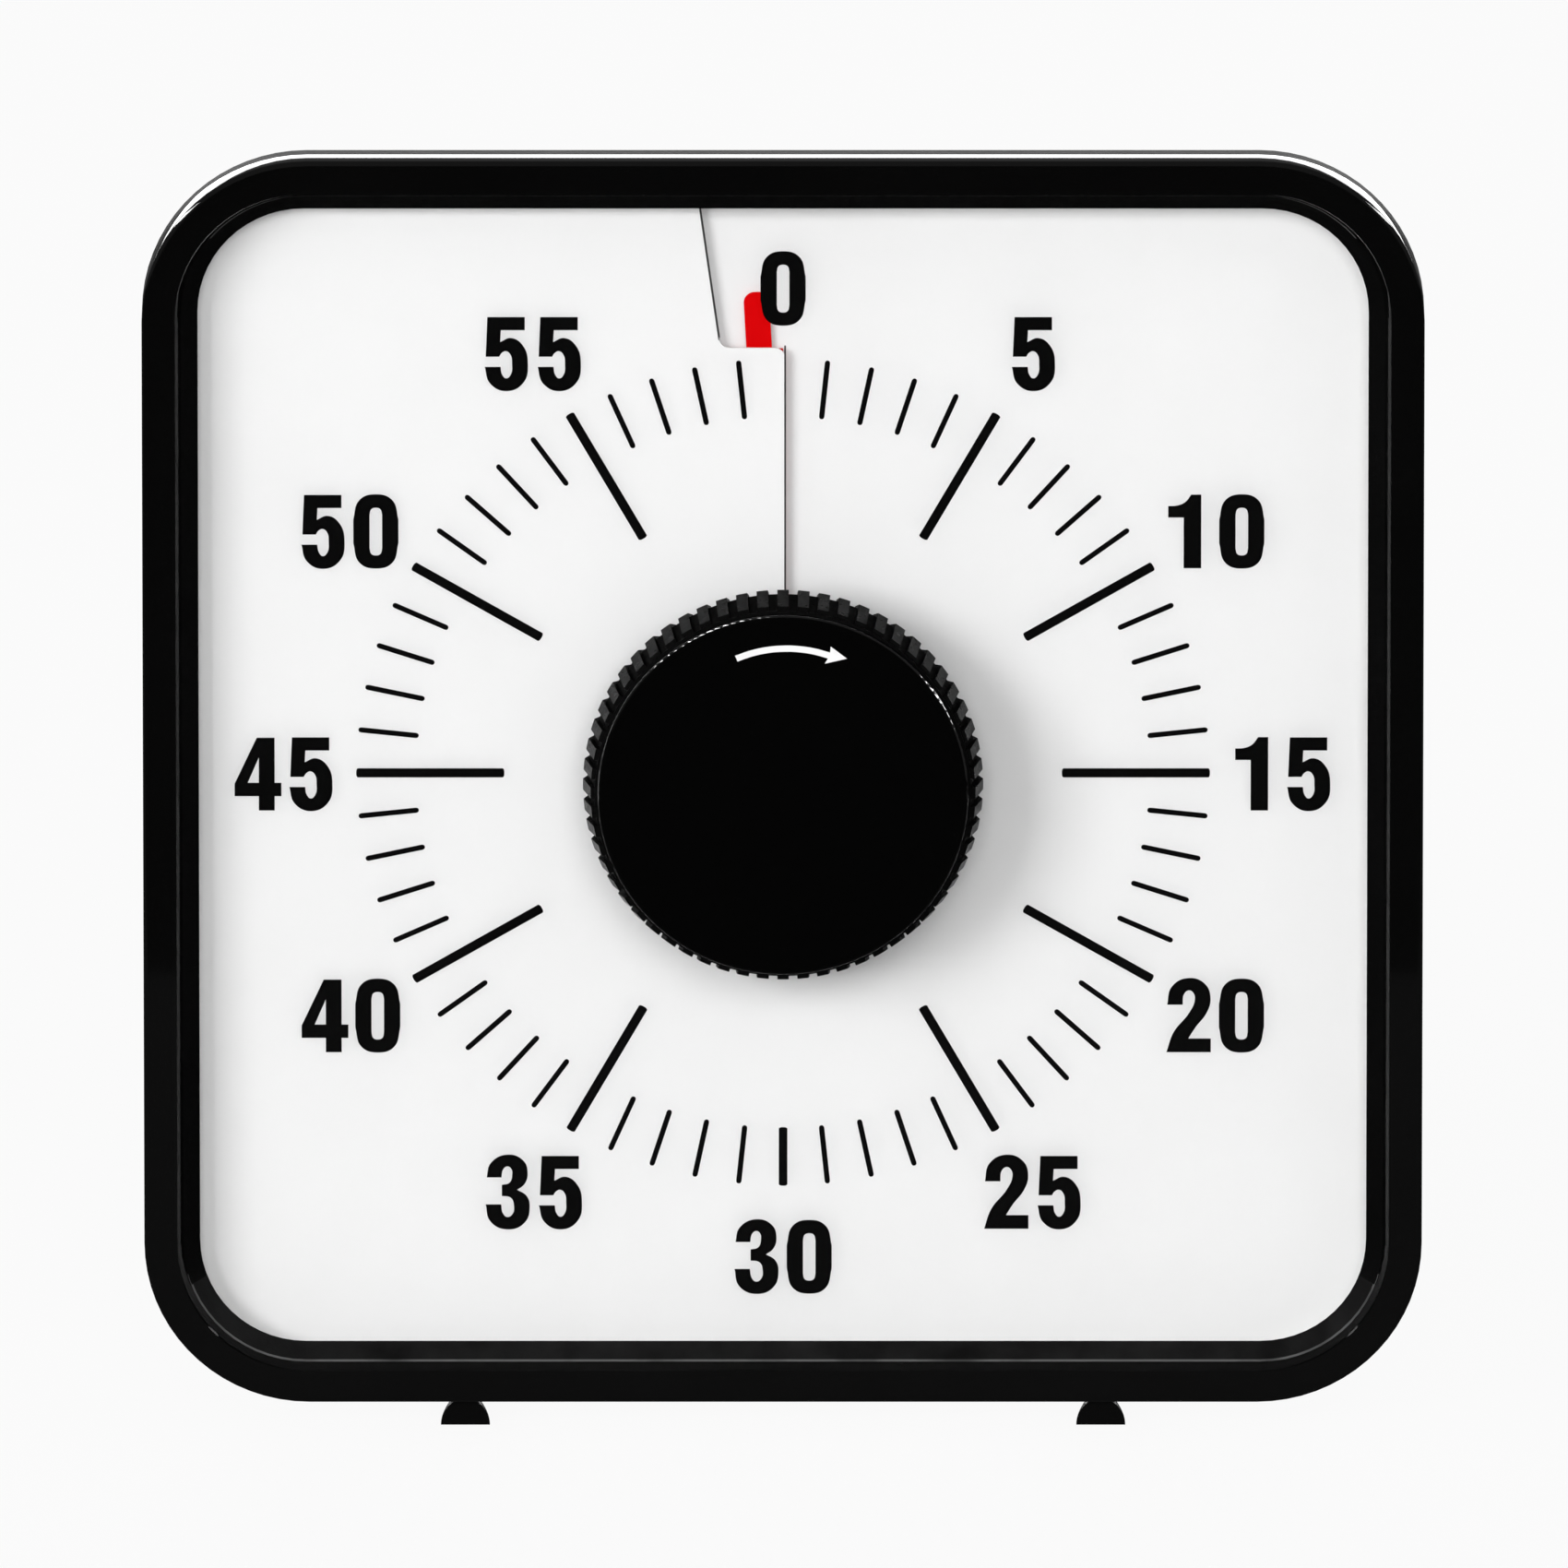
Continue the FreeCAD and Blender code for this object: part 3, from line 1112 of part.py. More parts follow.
def make_main_arbor():
    """Stepped arbor from the rear plate to the knob, with a drive flat in front."""
    front = size("cap_thick") + size("cap_plug_depth") + size("knob_screw_head_height") + size("knob_web")
    front -= size("knob_proud")
    collar = size("plate_front_back") + size("collar_lead")
    collar_back = train_layers()[0]
    shape = flatted_rod(size("arbor_radius"), size("arbor_flat"), front, size("floor_back") - 0.3)
    shape = shape.fuse(rod(size("arbor_radius"), size("floor_back") - 0.3, size("rear_plate_front") - 0.2))
    shape = shape.fuse(rod(size("arbor_pivot"), size("rear_plate_front") - 0.3, size("rear_plate_back") + 1.0))
    shape = shape.fuse(rod(size("arbor_radius") + size("collar_step"), collar, collar_back))
    bore = size("knob_screw_radius") + size("running_fit")
    shape = shape.cut(rod(bore, front - 1, front + size("knob_screw_length") + size("drill_past")))
    clip_front = size("rear_plate_back") + size("collar_lead")
    coded("main_arbor", shape)
    clip = rod(size("clip_radius"), clip_front, clip_front + size("clip_thick"))
    coded("arbor_clip", clip.cut(rod(size("arbor_pivot") + size("press_fit"), 0, 50)))

    washer_front = collar_back + size("main_wheel_thick")
    washer_back = train_layers()[1] - 0.25
    foot, neck, wall = size("clutch_foot"), size("clutch_neck"), size("clutch_wall")
    cone = tapered(foot, neck, washer_front, washer_back)
    inner = tapered(foot - wall, neck - wall, washer_front, washer_back)
    bore = rod(size("arbor_radius") + size("press_fit"), 0, 50)
    end = rod(neck, washer_back - wall / 2, washer_back)
    coded("clutch_spring", cone.cut(inner).fuse(end.cut(bore)))

    cam_back = size("rear_plate_front") - size("cam_gap")
    cam = rod(size("cam_radius"), cam_back - size("cam_thick"), cam_back)
    near, far = size("cam_radius") * CAM_DROP, size("cam_radius") + 2
    drop, slope_end, slope_start = CAM_NOTCH
    corners = [polar(near, drop), polar(far, drop), polar(far, slope_end), polar(near, slope_start)]
    notch = plate(corners, 0, 50)
    coded("strike_cam", cam.cut(notch).cut(bore))


# Direction of the cam's follower from the main arbor, in degrees
FOLLOWER = 196


def make_strike():
    """Bell on its post, and the hammer that the cam lets go."""
    x, z = -size("bell_left"), -size("bell_drop")
    back = size("rear_plate_back")
    reach, height, wall = size("bell_radius"), size("bell_height"), size("bell_wall")
    hole = bell_screw_radius()
    flat = size("pillar_screw_head") + size("slip")
    ball = (reach ** 2 + height ** 2) / (2 * height)
    centre = back - math.sqrt(ball ** 2 - flat ** 2)

    def skin(radius, across):
        return V(across, centre + math.sqrt(radius ** 2 - across ** 2), 0)

    lip, lip_inside = skin(ball, reach), skin(ball - wall, reach - wall)
    seat = skin(ball - wall, size("bell_post_radius") + size("slip"))
    crown = lip.y
    outline = [
        Part.makeLine(V(hole, seat.y, 0), V(hole, back, 0)),
        Part.makeLine(V(hole, back, 0), V(flat, back, 0)),
        Part.Arc(V(flat, back, 0), skin(ball, reach * 0.6), lip).toShape(),
        Part.makeLine(lip, lip_inside),
        Part.Arc(lip_inside, skin(ball - wall, reach * 0.6), seat).toShape(),
        Part.makeLine(seat, V(hole, seat.y, 0)),
    ]
    dome = Part.Face(Part.Wire(outline)).revolve(V(0, 0, 0), V(0, 1, 0), 360)
    coded("bell_dome", dome.translated(V(x, 0, z)))
    post = rod(size("bell_post_radius"), size("floor_back"), seat.y, x, z)
    length = back - seat.y + size("pillar_screw_grip")
    post = post.cut(rod(hole, back - length - size("drill_past"), back, x, z))
    coded("bell_post", post)
    head, head_height = size("pillar_screw_head"), size("pillar_screw_head_height")
    one = screw(head, head_height, size("pillar_screw_radius"), length)
    coded("bell_screw", one.translated(V(x, back, z)))

    cam_back = size("rear_plate_front") - size("cam_gap")
    lever_front = cam_back - size("cam_thick")
    pivot = hammer_place()
    off = reach + size("hammer_gap") + size("hammer_radius")
    toward = math.degrees(math.atan2(pivot[1] - z, pivot[0] - x))
    square = math.degrees(math.acos(off / math.hypot(pivot[0] - x, pivot[1] - z)))
    head = polar(off, toward + square, x, z)
    half = size("strike_half")
    tail = size("hammer_radius") / 2
    follower = polar(size("cam_radius") + half + size("drill_past"), FOLLOWER)
    lever = rod(size("strike_hub"), lever_front, cam_back, *pivot)
    for end in (head, follower):
        lever = lever.fuse(bar(pivot, end, half, lever_front, cam_back))
    lever = lever.cut(rod(size("strike_arbor") + size("press_fit"), 0, 50, *pivot))
    coded("hammer_lever", lever.cut(rod(tail + size("press_fit"), 0, 50, *head)))
    knob_front = crown + size("drill_past")
    knob = rod(size("hammer_radius"), knob_front, lever_front, *head)
    coded("hammer_head", knob.fuse(rod(tail, knob_front, cam_back + size("slip"), *head)))
    coded("hammer_arbor", arbor(size("strike_arbor"), pivot))


# Knob
def rib_star(front, back):
    """Straight bars all round, as wide as a rib, that the ribs are trimmed to."""
    ribs = int(size("knob_ribs"))
    half = size("rib_width") / 2
    inner = size("knob_face_radius") - size("knob_wall") / 2
    outer = size("knob_radius") + size("rib_height")
    points = []
    for number in range(ribs):
        for radius, side in ((inner, -1), (outer, -1), (outer, 1), (inner, 1)):
            spread = math.degrees(math.asin(half / radius))
            points.append(polar(radius, 360.0 * number / ribs + side * spread))
    return plate(points, front, back)


def make_knob():
    face = -size("knob_proud") + size("cap_thick")
    recess = face + size("cap_plug_depth")
    start = face + size("rib_start")
    back = size("knob_back")
    waist = size("knob_waist")
    rim = size("knob_face_radius")
    grip = size("knob_radius")
    base = size("knob_base_radius")
    height = size("rib_height")
    ribs = tapered(rim + height, grip, start, waist).fuse(tapered(grip, base, waist, back))
    ribs = ribs.common(rib_star(start, back))
    shape = rod(rim, face, start)
    front_core = tapered(rim, grip - height, start, waist)
    rear_core = tapered(grip - height, base - height, waist, back)
    shape = shape.fuse([front_core, rear_core, ribs])
    floor = recess + size("knob_wall")
    skin = height + size("knob_wall")
    shape = shape.cut(tapered(rim - skin, base - skin, floor, back + 1))
    shape = shape.fuse(rod(size("knob_boss"), floor - 0.5, back))
    shape = shape.cut(rod(size("cap_plug_radius") + 0.05, face - 1, recess))
    seat = recess + size("knob_screw_head_height")
    shape = shape.cut(rod(size("knob_screw_head") + 0.15, face, seat))
    shape = shape.cut(rod(size("knob_screw_radius") + size("running_fit"), face, back))
    socket = flatted_rod(
        size("arbor_radius") + 0.02, size("arbor_flat") + 0.02, seat + size("knob_web"), back + 1)
    coded("knob_body", shape.cut(socket).removeSplitter())

    cap = rod(size("cap_radius"), -size("knob_proud"), face)
    rim = [item for item in cap.Edges if len(item.Vertexes) == 1 and item.BoundBox.YMax < face - 0.1]
    cap = cap.makeFillet(size("cap_edge"), rim)
    coded("knob_cap", cap.fuse(rod(size("cap_plug_radius"), face, recess)))
    length = size("knob_web") + size("knob_screw_length")
    one = screw(size("knob_screw_head"), size("knob_screw_head_height"), size("knob_screw_radius"), length)
    one.rotate(V(0, 0, 0), V(0, 0, 1), 180)
    coded("knob_screw", one.translated(V(0, seat, 0)))


# Feet
def foot_section(sketch):
    """Domed section: flat on the table, rounded sides, narrow flat top."""
    base, top, height = size("foot_base") / 2, size("foot_top") / 2, size("foot_height")
    bulge = size("foot_bulge")
    middle = (base + top) / 2 + bulge
    rise = height / 2
    right = Part.Arc(V(base, 0, 0), V(middle, rise, 0), V(top, height, 0))
    left = Part.Arc(V(-top, height, 0), V(-middle, rise, 0), V(-base, 0, 0))
    floor = Part.LineSegment(V(-base, 0, 0), V(base, 0, 0))
    ceiling = Part.LineSegment(V(top, height, 0), V(-top, height, 0))
    for item in (floor, right, ceiling, left):
        sketch.addGeometry(item, False)
    for number in range(4):
        sketch.addConstraint(Sketcher.Constraint("Coincident", number, 2, (number + 1) % 4, 1))
    sketch.addConstraint(Sketcher.Constraint("Symmetric", 0, 1, 0, 2, -2))
    sketch.addConstraint(Sketcher.Constraint("Symmetric", 2, 1, 2, 2, -2))
    sketch.addConstraint(Sketcher.Constraint("PointOnObject", 0, 1, -1))
    sketch.addConstraint(Sketcher.Constraint("Equal", 1, 3))
    constrain(sketch, "base", "foot_base", "DistanceX", 0, 1, 0, 2, 2 * base)
    constrain(sketch, "top", "foot_top", "DistanceX", 2, 2, 2, 1, 2 * top)
    constrain(sketch, "rise", "foot_height", "DistanceY", 0, 2, 2, 1, height)
    constrain(sketch, "side_arc", "foot_arc", "Radius", 1, size("foot_arc"))


def make_foot(side, label):
    body = doc.addObject("PartDesign::Body", label + "_body")
    section = new_sketch(body, label + "_section", "foot_front")
    foot_section(section)
    pad(body, section, "foot_length", label + "_bar")
    bore = doc.addObject("Part::Cylinder", label + "_bore")
    bind(bore, "Radius", "foot_screw_radius + running_fit")
    bind(bore, "Height", "2 * foot_height")
    bind(bore, "Placement.Base.y", "foot_pivot")
    sink = doc.addObject("Part::Cylinder", label + "_sink")
    bind(sink, "Radius", "foot_screw_head + slip")
    bind(sink, "Height", "foot_screw_sink + foot_screw_head_height")
    bind(sink, "Placement.Base.y", "foot_pivot")
    tools = [bore, sink]
    for way in (-1, 1):
        for end in ("start", "end"):
            hollow = doc.addObject("Part::Cylinder", f"{label}_hollow_{way + 1}_{end}")
            bind(hollow, "Radius", "foot_scallop")
            bind(hollow, "Height", "2 * foot_height")
            bind(hollow, "Placement.Base.x", f"{way} * (foot_waist / 2 + foot_scallop)")
            bind(hollow, "Placement.Base.y", f"foot_waist_{end}")
            bind(hollow, "Placement.Base.z", "-foot_height / 2")
            tools.append(hollow)
        flank = doc.addObject("Part::Box", f"{label}_flank_{way + 1}")
        bind(flank, "Length", "foot_scallop")
        bind(flank, "Width", "foot_waist_end - foot_waist_start")
        bind(flank, "Height", "2 * foot_height")
        bind(flank, "Placement.Base.x", f"{way} * foot_waist / 2 + ({way} - 1) * foot_scallop / 2")
        bind(flank, "Placement.Base.y", "foot_waist_start")
        bind(flank, "Placement.Base.z", "-foot_height / 2")
        tools.append(flank)
    foot = node(cut(label + "_cut", body, tools), label)
    bind(foot, "Placement.Base.x", f"{side} * foot_spread")
    bind(foot, "Placement.Base.z", "0")


def make_foot_fasteners():
    washers = []
    screws = []
    seat = size("table_level") + size("foot_screw_sink") + size("foot_screw_head_height")
    length = size("case_bottom") + size("foot_screw_grip") - seat
    one = screw(size("foot_screw_head"), size("foot_screw_head_height"), size("foot_screw_radius"), length)
    one.rotate(V(0, 0, 0), V(1, 0, 0), -90)
    for side in (-1, 1):
        x, y = side * size("foot_spread"), size("foot_pivot")
        under = V(x, y, size("foot_top_level"))
        washer = Part.makeCylinder(size("washer_radius"), size("washer_thick"), under)
        hole = Part.makeCylinder(
            size("foot_screw_radius") + size("running_fit"), 3 * size("washer_thick"),
            V(x, y, size("foot_top_level") - size("washer_thick")))
        washers.append(washer.cut(hole))
        screws.append(one.translated(V(x, y, seat)))
    coded("foot_washers", Part.makeCompound(washers))
    coded("foot_screws", Part.makeCompound(screws))


make_front_frame()
make_front_cover()
make_dial_sheet()
make_red_disc()
make_disc_hub()
make_dial_carrier()
make_rear_shell()
make_case_screws()
make_magnets()
make_knob()
make_main_arbor()
make_plates()
make_pillars()
make_train()
make_escapement()
make_mainspring()
make_strike()
make_foot(-1, "swing_foot_left")
make_foot(1, "swing_foot_right")
make_foot_fasteners()
doc.recompute()

# Every object is checked before anything is written
for thing in doc.Objects:
    bad = [state for state in thing.State if state in ("Invalid", "Error")]
    if bad:
        raise SystemExit(f"{thing.Name}: {bad}")
for thing in nodes:
    if thing.Shape.isNull() or not thing.Shape.isValid() or not thing.Shape.Solids:
        raise SystemExit(f"{thing.Label}: no valid solid")

os.makedirs("parts", exist_ok=True)
for thing in nodes:
    thing.Shape.exportStep(f"parts/{thing.Label}.step")
    box = thing.Shape.BoundBox
    print(f"{thing.Label}: {len(thing.Shape.Solids)} solids, {thing.Shape.Volume:.1f} mm3, "
          f"y {box.YMin:.2f} to {box.YMax:.2f}")
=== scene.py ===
import json
import math

import bmesh
import bpy
from mathutils import Matrix, Vector


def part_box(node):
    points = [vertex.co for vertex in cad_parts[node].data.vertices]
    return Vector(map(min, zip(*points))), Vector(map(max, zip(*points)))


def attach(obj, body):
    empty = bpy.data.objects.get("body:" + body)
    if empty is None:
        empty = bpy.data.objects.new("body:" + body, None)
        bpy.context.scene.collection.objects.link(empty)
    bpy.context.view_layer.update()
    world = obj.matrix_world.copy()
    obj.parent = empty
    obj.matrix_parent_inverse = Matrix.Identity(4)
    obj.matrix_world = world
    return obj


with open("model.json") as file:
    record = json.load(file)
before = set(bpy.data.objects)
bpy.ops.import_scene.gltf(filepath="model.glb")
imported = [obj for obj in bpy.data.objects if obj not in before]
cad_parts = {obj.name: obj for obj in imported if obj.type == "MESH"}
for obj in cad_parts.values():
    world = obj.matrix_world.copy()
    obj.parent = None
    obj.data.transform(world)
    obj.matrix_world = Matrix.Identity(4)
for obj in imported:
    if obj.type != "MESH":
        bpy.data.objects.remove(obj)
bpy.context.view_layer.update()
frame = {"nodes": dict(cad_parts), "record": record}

MM = 0.001

# Places worked out from the frame: the dial's axis, the case's front plane and the print's plane
case_low, case_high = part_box("front_frame")
AXIS_X = (case_low.x + case_high.x) / 2
AXIS_Z = (case_low.z + case_high.z) / 2
FRONT_Y = case_low.y
PRINT_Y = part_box("front_cover")[1].y
FACE_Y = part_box("knob_cap")[0].y

# Camera: far away with a long lens, looking down at the case
CAMERA_TILT = math.radians(14.3)
CAMERA_FAR = 7.5
CAMERA_CLIP = 50.0
SENSOR_WIDE = 36.0
PHOTO_SIDE = 1700
PHOTO_SCALE = 7.30
PHOTO_AXIS = (849.0, 838.0)

# Noise textures, in waves per metre, and the middle range of their values
DRIFT_NOISE = 60.0
POLISH_NOISE = 240.0
RIPPLE_NOISE = 90.0
GRAIN_NOISE = 2600.0
NOISE_LOW = 0.3
NOISE_HIGH = 0.7

# Heights of bumps, in metres
RIPPLE_DEPTH = 0.0002
GRAIN_DEPTH = 0.00004
METAL_DEPTH = 0.00003
LIP_GRAIN_DEPTH = 0.00005

# Frame, in millimetres: corner radius, width of its face, depth of the step inside it and of the rear seam
CASE_CORNER = 24.5
LIP_START = 4.93
CREASE_DEPTH = 2.5
SEAM_DEPTH = 4.7
CROWN_RISE = 0.53
GROOVE_HALF = 0.18
RIM_INSET = 0.72
RIM_WIDE = 0.1

# Frame: how far dust and the painted highlight lines lighten it, and the least upward turn of a face where
# the dust and the groove's painted highlight lie
LEDGE_DUST = 0.02
GROOVE_HIGHLIGHT = 0.3
RIM_HIGHLIGHT = 0.2
DUST_AND_HIGHLIGHT_GREY = 0.1
DUST_AND_HIGHLIGHT_PATCHES = 120.0
UPWARD_LEAST = 0.25

# Frame: reflection of the gloss and of the matte parts, and how much rougher these are
GLOSS_SHINE = 0.5
MATTE_SHINE = 0.03
MATTE_ROUGH = 0.5
LIP_GRAIN_NOISE = 1500.0

# Dial sheet, in millimetres and degrees: the slit, the notch above it, and the half width and grey of the
# painted shade line along the cut edges
SLIT_SHIFT = 0.3
NOTCH_REACH = 64.7
NOTCH_LEFT = 9.3
NOTCH_ROUND = 1.2
NOTCH_SLANT = 8.1
CUT_SHADE_WIDE = 0.13
CUT_SHADE_GREY = 0.05

# Printed scale, in millimetres
TICK_OUTER = 63.4
MINOR_INNER = 54.4
MINOR_WIDE = 0.8
MAJOR_INNER = 41.4
MAJOR_WIDE = 1.4
SHORT_WIDE = 1.27
NUMERAL_RADIUS = 74.2
NUMERAL_DROP = 0.12
NUMERAL_HIGH = 11.3
NUMERAL_ADVANCE = 7.85
ONE_LEAN = -0.62
INK_THICK = 0.03
INK_GAP = 0.02

# Ends of the scale's lines and round shapes of the numerals, as shares of their half widths
BLUNT_END = 0.3
END_CURVE = 0.3
END_SHOULDER = 0.7
OVAL_LIFT = 1.15
OVAL_SHOULDER_SIDE = 0.72
OVAL_SHOULDER_DROP = 0.22

# Knob: ribs all round, how they shine, and the arrow on its face
KNOB_RIBS = 60
RIB_EDGE = -0.15
RIB_SHINE = 0.42
RIB_GAP_SHINE = 0.02
RIB_POLISH_NOISE = 900.0
ARROW_CENTRE = (0.56, 3.47)
ARROW_RADIUS = 19.0
ARROW_WIDE = 0.95
ARROW_START = -23.2
ARROW_NECK = 19.2
ARROW_BARB = 0.6
ARROW_TIP = 27.0
ARROW_RISE = 0.6
ARROW_HEAD = 2.75
ARROW_STEPS = 6
PAINT_THICK = 0.03


# Node materials
def grey(value):
    return (value, value, value)


def new_material(name):
    material = bpy.data.materials.new(name)
    material.use_nodes = True
    tree = material.node_tree
    shader = tree.nodes["Principled BSDF"]
    return material, tree, shader


def noise(tree, scale, detail=3.0):
    place = tree.nodes.new("ShaderNodeTexCoord")
    made = tree.nodes.new("ShaderNodeTexNoise")
    made.inputs["Scale"].default_value = scale
    made.inputs["Detail"].default_value = detail
    tree.links.new(place.outputs["Object"], made.inputs["Vector"])
    return made.outputs["Fac"]


def spread(tree, source, low, high):
    """Maps a texture's middle range to the range from low to high."""
    made = tree.nodes.new("ShaderNodeMapRange")
    made.inputs["From Min"].default_value = NOISE_LOW
    made.inputs["From Max"].default_value = NOISE_HIGH
    made.inputs["To Min"].default_value = low
    made.inputs["To Max"].default_value = high
    tree.links.new(source, made.inputs["Value"])
    return made.outputs["Result"]


def tones(tree, source, dark, light):
    """A ramp between two close tones over a texture's middle range."""
    made = tree.nodes.new("ShaderNodeValToRGB")
    ends = made.color_ramp.elements
    ends[0].position = NOISE_LOW
    ends[0].color = (*dark, 1.0)
    ends[1].position = NOISE_HIGH
    ends[1].color = (*light, 1.0)
    tree.links.new(source, made.inputs["Fac"])
    return made


def tint(tree, shader, source, dark, light):
    """Base colour that wanders between two close tones."""
    made = tones(tree, source, dark, light)
    tree.links.new(made.outputs["Color"], shader.inputs["Base Color"])
    return made


def bump(tree, shader, source, strength, distance):
    made = tree.nodes.new("ShaderNodeBump")
    made.inputs["Strength"].default_value = strength
    made.inputs["Distance"].default_value = distance
    tree.links.new(source, made.inputs["Height"])
    tree.links.new(made.outputs["Normal"], shader.inputs["Normal"])


def chain(tree, operation, *values):
    """A math node fed with numbers or other nodes' outputs."""
    made = tree.nodes.new("ShaderNodeMath")
    made.operation = operation
    for socket, value in zip(made.inputs, values):
        if isinstance(value, (int, float)):
            socket.default_value = value
        else:
            tree.links.new(value, socket)
    return made.outputs["Value"]


def from_axis(tree, thing):
    """A piece's own coordinates from the dial's axis and the case's front: side, depth and rise."""
    middle = thing.matrix_world.inverted() @ Vector((AXIS_X, FRONT_Y, AXIS_Z))
    place = tree.nodes.new("ShaderNodeTexCoord")
    split = tree.nodes.new("ShaderNodeSeparateXYZ")
    tree.links.new(place.outputs["Object"], split.inputs["Vector"])
    return [chain(tree, "SUBTRACT", split.outputs[axis], start) for axis, start in zip("XYZ", middle)]


def moulded(name, colour, roughness, ior=1.45, drift=0.06, ripple=0.0, grain=0.0):
    """Moulded plastic: tone and polish drift slowly. Gloss may ripple, and matte has a fine grain."""
    material, tree, shader = new_material(name)
    shader.inputs["IOR"].default_value = ior
    dark = [part * (1.0 - drift) for part in colour]
    light = [part * (1.0 + drift) for part in colour]
    tint(tree, shader, noise(tree, DRIFT_NOISE), dark, light)
    polish = spread(tree, noise(tree, POLISH_NOISE), roughness * 0.95, roughness * 1.06)
    tree.links.new(polish, shader.inputs["Roughness"])
    if ripple:
        bump(tree, shader, noise(tree, RIPPLE_NOISE, 1.0), ripple, RIPPLE_DEPTH)
    if grain:
        bump(tree, shader, noise(tree, GRAIN_NOISE, 2.0), grain, GRAIN_DEPTH)
    return material


def metal(name, colour, roughness, brushed):
    """Metal with a drift in tone, brushed along the plates or lightly turned."""
    material, tree, shader = new_material(name)
    shader.inputs["Metallic"].default_value = 1.0
    place = tree.nodes.new("ShaderNodeTexCoord")
    stretch = tree.nodes.new("ShaderNodeMapping")
    stretch.inputs["Scale"].default_value = (60.0, 900.0, 900.0) if brushed else (300.0, 300.0, 300.0)
    tree.links.new(place.outputs["Object"], stretch.inputs["Vector"])
    texture = tree.nodes.new("ShaderNodeTexNoise")
    texture.inputs["Scale"].default_value = 1.0
    texture.inputs["Detail"].default_value = 4.0
    tree.links.new(stretch.outputs["Vector"], texture.inputs["Vector"])
    lines = texture.outputs["Fac"]
    tint(tree, shader, lines, [part * 0.88 for part in colour], [min(1.0, part * 1.06) for part in colour])
    polish = spread(tree, lines, roughness * 0.7, roughness * 1.3)
    tree.links.new(polish, shader.inputs["Roughness"])
    bump(tree, shader, lines, 0.12, METAL_DEPTH)
    return material


def clear_sheet(name):
    """Clear cover: lets light straight through, with a thin reflection."""
    material, tree, shader = new_material(name)
    tree.nodes.remove(shader)
    output = tree.nodes["Material Output"]
    through = tree.nodes.new("ShaderNodeBsdfTransparent")
    through.inputs["Color"].default_value = (*grey(0.985), 1.0)
    gloss = tree.nodes.new("ShaderNodeBsdfGlossy")
    gloss.inputs["Color"].default_value = (*grey(1.0), 1.0)
    polish = spread(tree, noise(tree, 40.0), 0.0, 0.02)
    tree.links.new(polish, gloss.inputs["Roughness"])
    edge = tree.nodes.new("ShaderNodeFresnel")
    edge.inputs["IOR"].default_value = 1.1
    blend = tree.nodes.new("ShaderNodeMixShader")
    tree.links.new(edge.outputs["Fac"], blend.inputs["Fac"])
    tree.links.new(through.outputs["BSDF"], blend.inputs[1])
    tree.links.new(gloss.outputs["BSDF"], blend.inputs[2])
    tree.links.new(blend.outputs["Shader"], output.inputs["Surface"])
    return material


def corner_reach(tree, side, rise, half):
    """Distance from the square on which the centres of the frame's rounded corners lie."""
    squares = []
    for value in (side, rise):
        off = chain(tree, "ABSOLUTE", value)
        past = chain(tree, "MAXIMUM", chain(tree, "SUBTRACT", off, half - CASE_CORNER * MM), 0.0)
        squares.append(chain(tree, "MULTIPLY", past, past))
    return chain(tree, "SQRT", chain(tree, "ADD", *squares))


def facing_up(tree):
    place = tree.nodes.new("ShaderNodeTexCoord")
    facing = tree.nodes.new("ShaderNodeSeparateXYZ")
    tree.links.new(place.outputs["Normal"], facing.inputs["Vector"])
    return chain(tree, "GREATER_THAN", facing.outputs["Z"], UPWARD_LEAST)


def ledge_dust(tree, depth, lip, inside):
    """Patchy dust on what faces up inside the frame, thin on the lip, and a patchy painted highlight line
    in the groove before it.
    """
    off = chain(tree, "ABSOLUTE", chain(tree, "SUBTRACT", depth, CREASE_DEPTH * MM))
    groove = chain(tree, "LESS_THAN", off, GROOVE_HALF * MM)
    thin = chain(tree, "MULTIPLY", lip, LEDGE_DUST)
    # The groove band gets a painted highlight line, lighter than the dust on the lip
    thick = chain(tree, "MULTIPLY", groove, GROOVE_HIGHLIGHT)
    amount = chain(tree, "MAXIMUM", thin, thick)
    upward = chain(tree, "MULTIPLY", inside, facing_up(tree))
    where = chain(tree, "MULTIPLY", chain(tree, "GREATER_THAN", amount, 0.0), upward)
    patchy = spread(tree, noise(tree, DUST_AND_HIGHLIGHT_PATCHES), 0.4, 1.6)
    return chain(tree, "MULTIPLY", chain(tree, "MULTIPLY_ADD", amount, patchy, NOISE_HIGH), where)


def rim_line(tree, rise, reach, half):
    """A painted highlight: a light line along the upper edge of the step inside the frame's face."""
    off = chain(tree, "SUBTRACT", reach, (CASE_CORNER - LIP_START - RIM_INSET) * MM)
    line = chain(tree, "LESS_THAN", chain(tree, "ABSOLUTE", off), RIM_WIDE * MM)
    high = chain(tree, "GREATER_THAN", rise, half - 0.5 * CASE_CORNER * MM)
    # Painted highlight along the upper rim, lightened towards the same grey as the dust
    return chain(tree, "MULTIPLY", chain(tree, "MULTIPLY", line, high), NOISE_HIGH + RIM_HIGHLIGHT)


def side_crown(tree, depth, inside):
    """Height that rounds the frame's outer sides from the seam to the front."""
    rear = chain(tree, "DIVIDE", chain(tree, "SUBTRACT", SEAM_DEPTH * MM, depth), SEAM_DEPTH * MM)
    square = chain(tree, "POWER", chain(tree, "MAXIMUM", rear, 0.0), 2.0)
    crown = chain(tree, "MULTIPLY", square, -CROWN_RISE * MM)
    return chain(tree, "MULTIPLY", crown, chain(tree, "SUBTRACT", 1.0, inside))


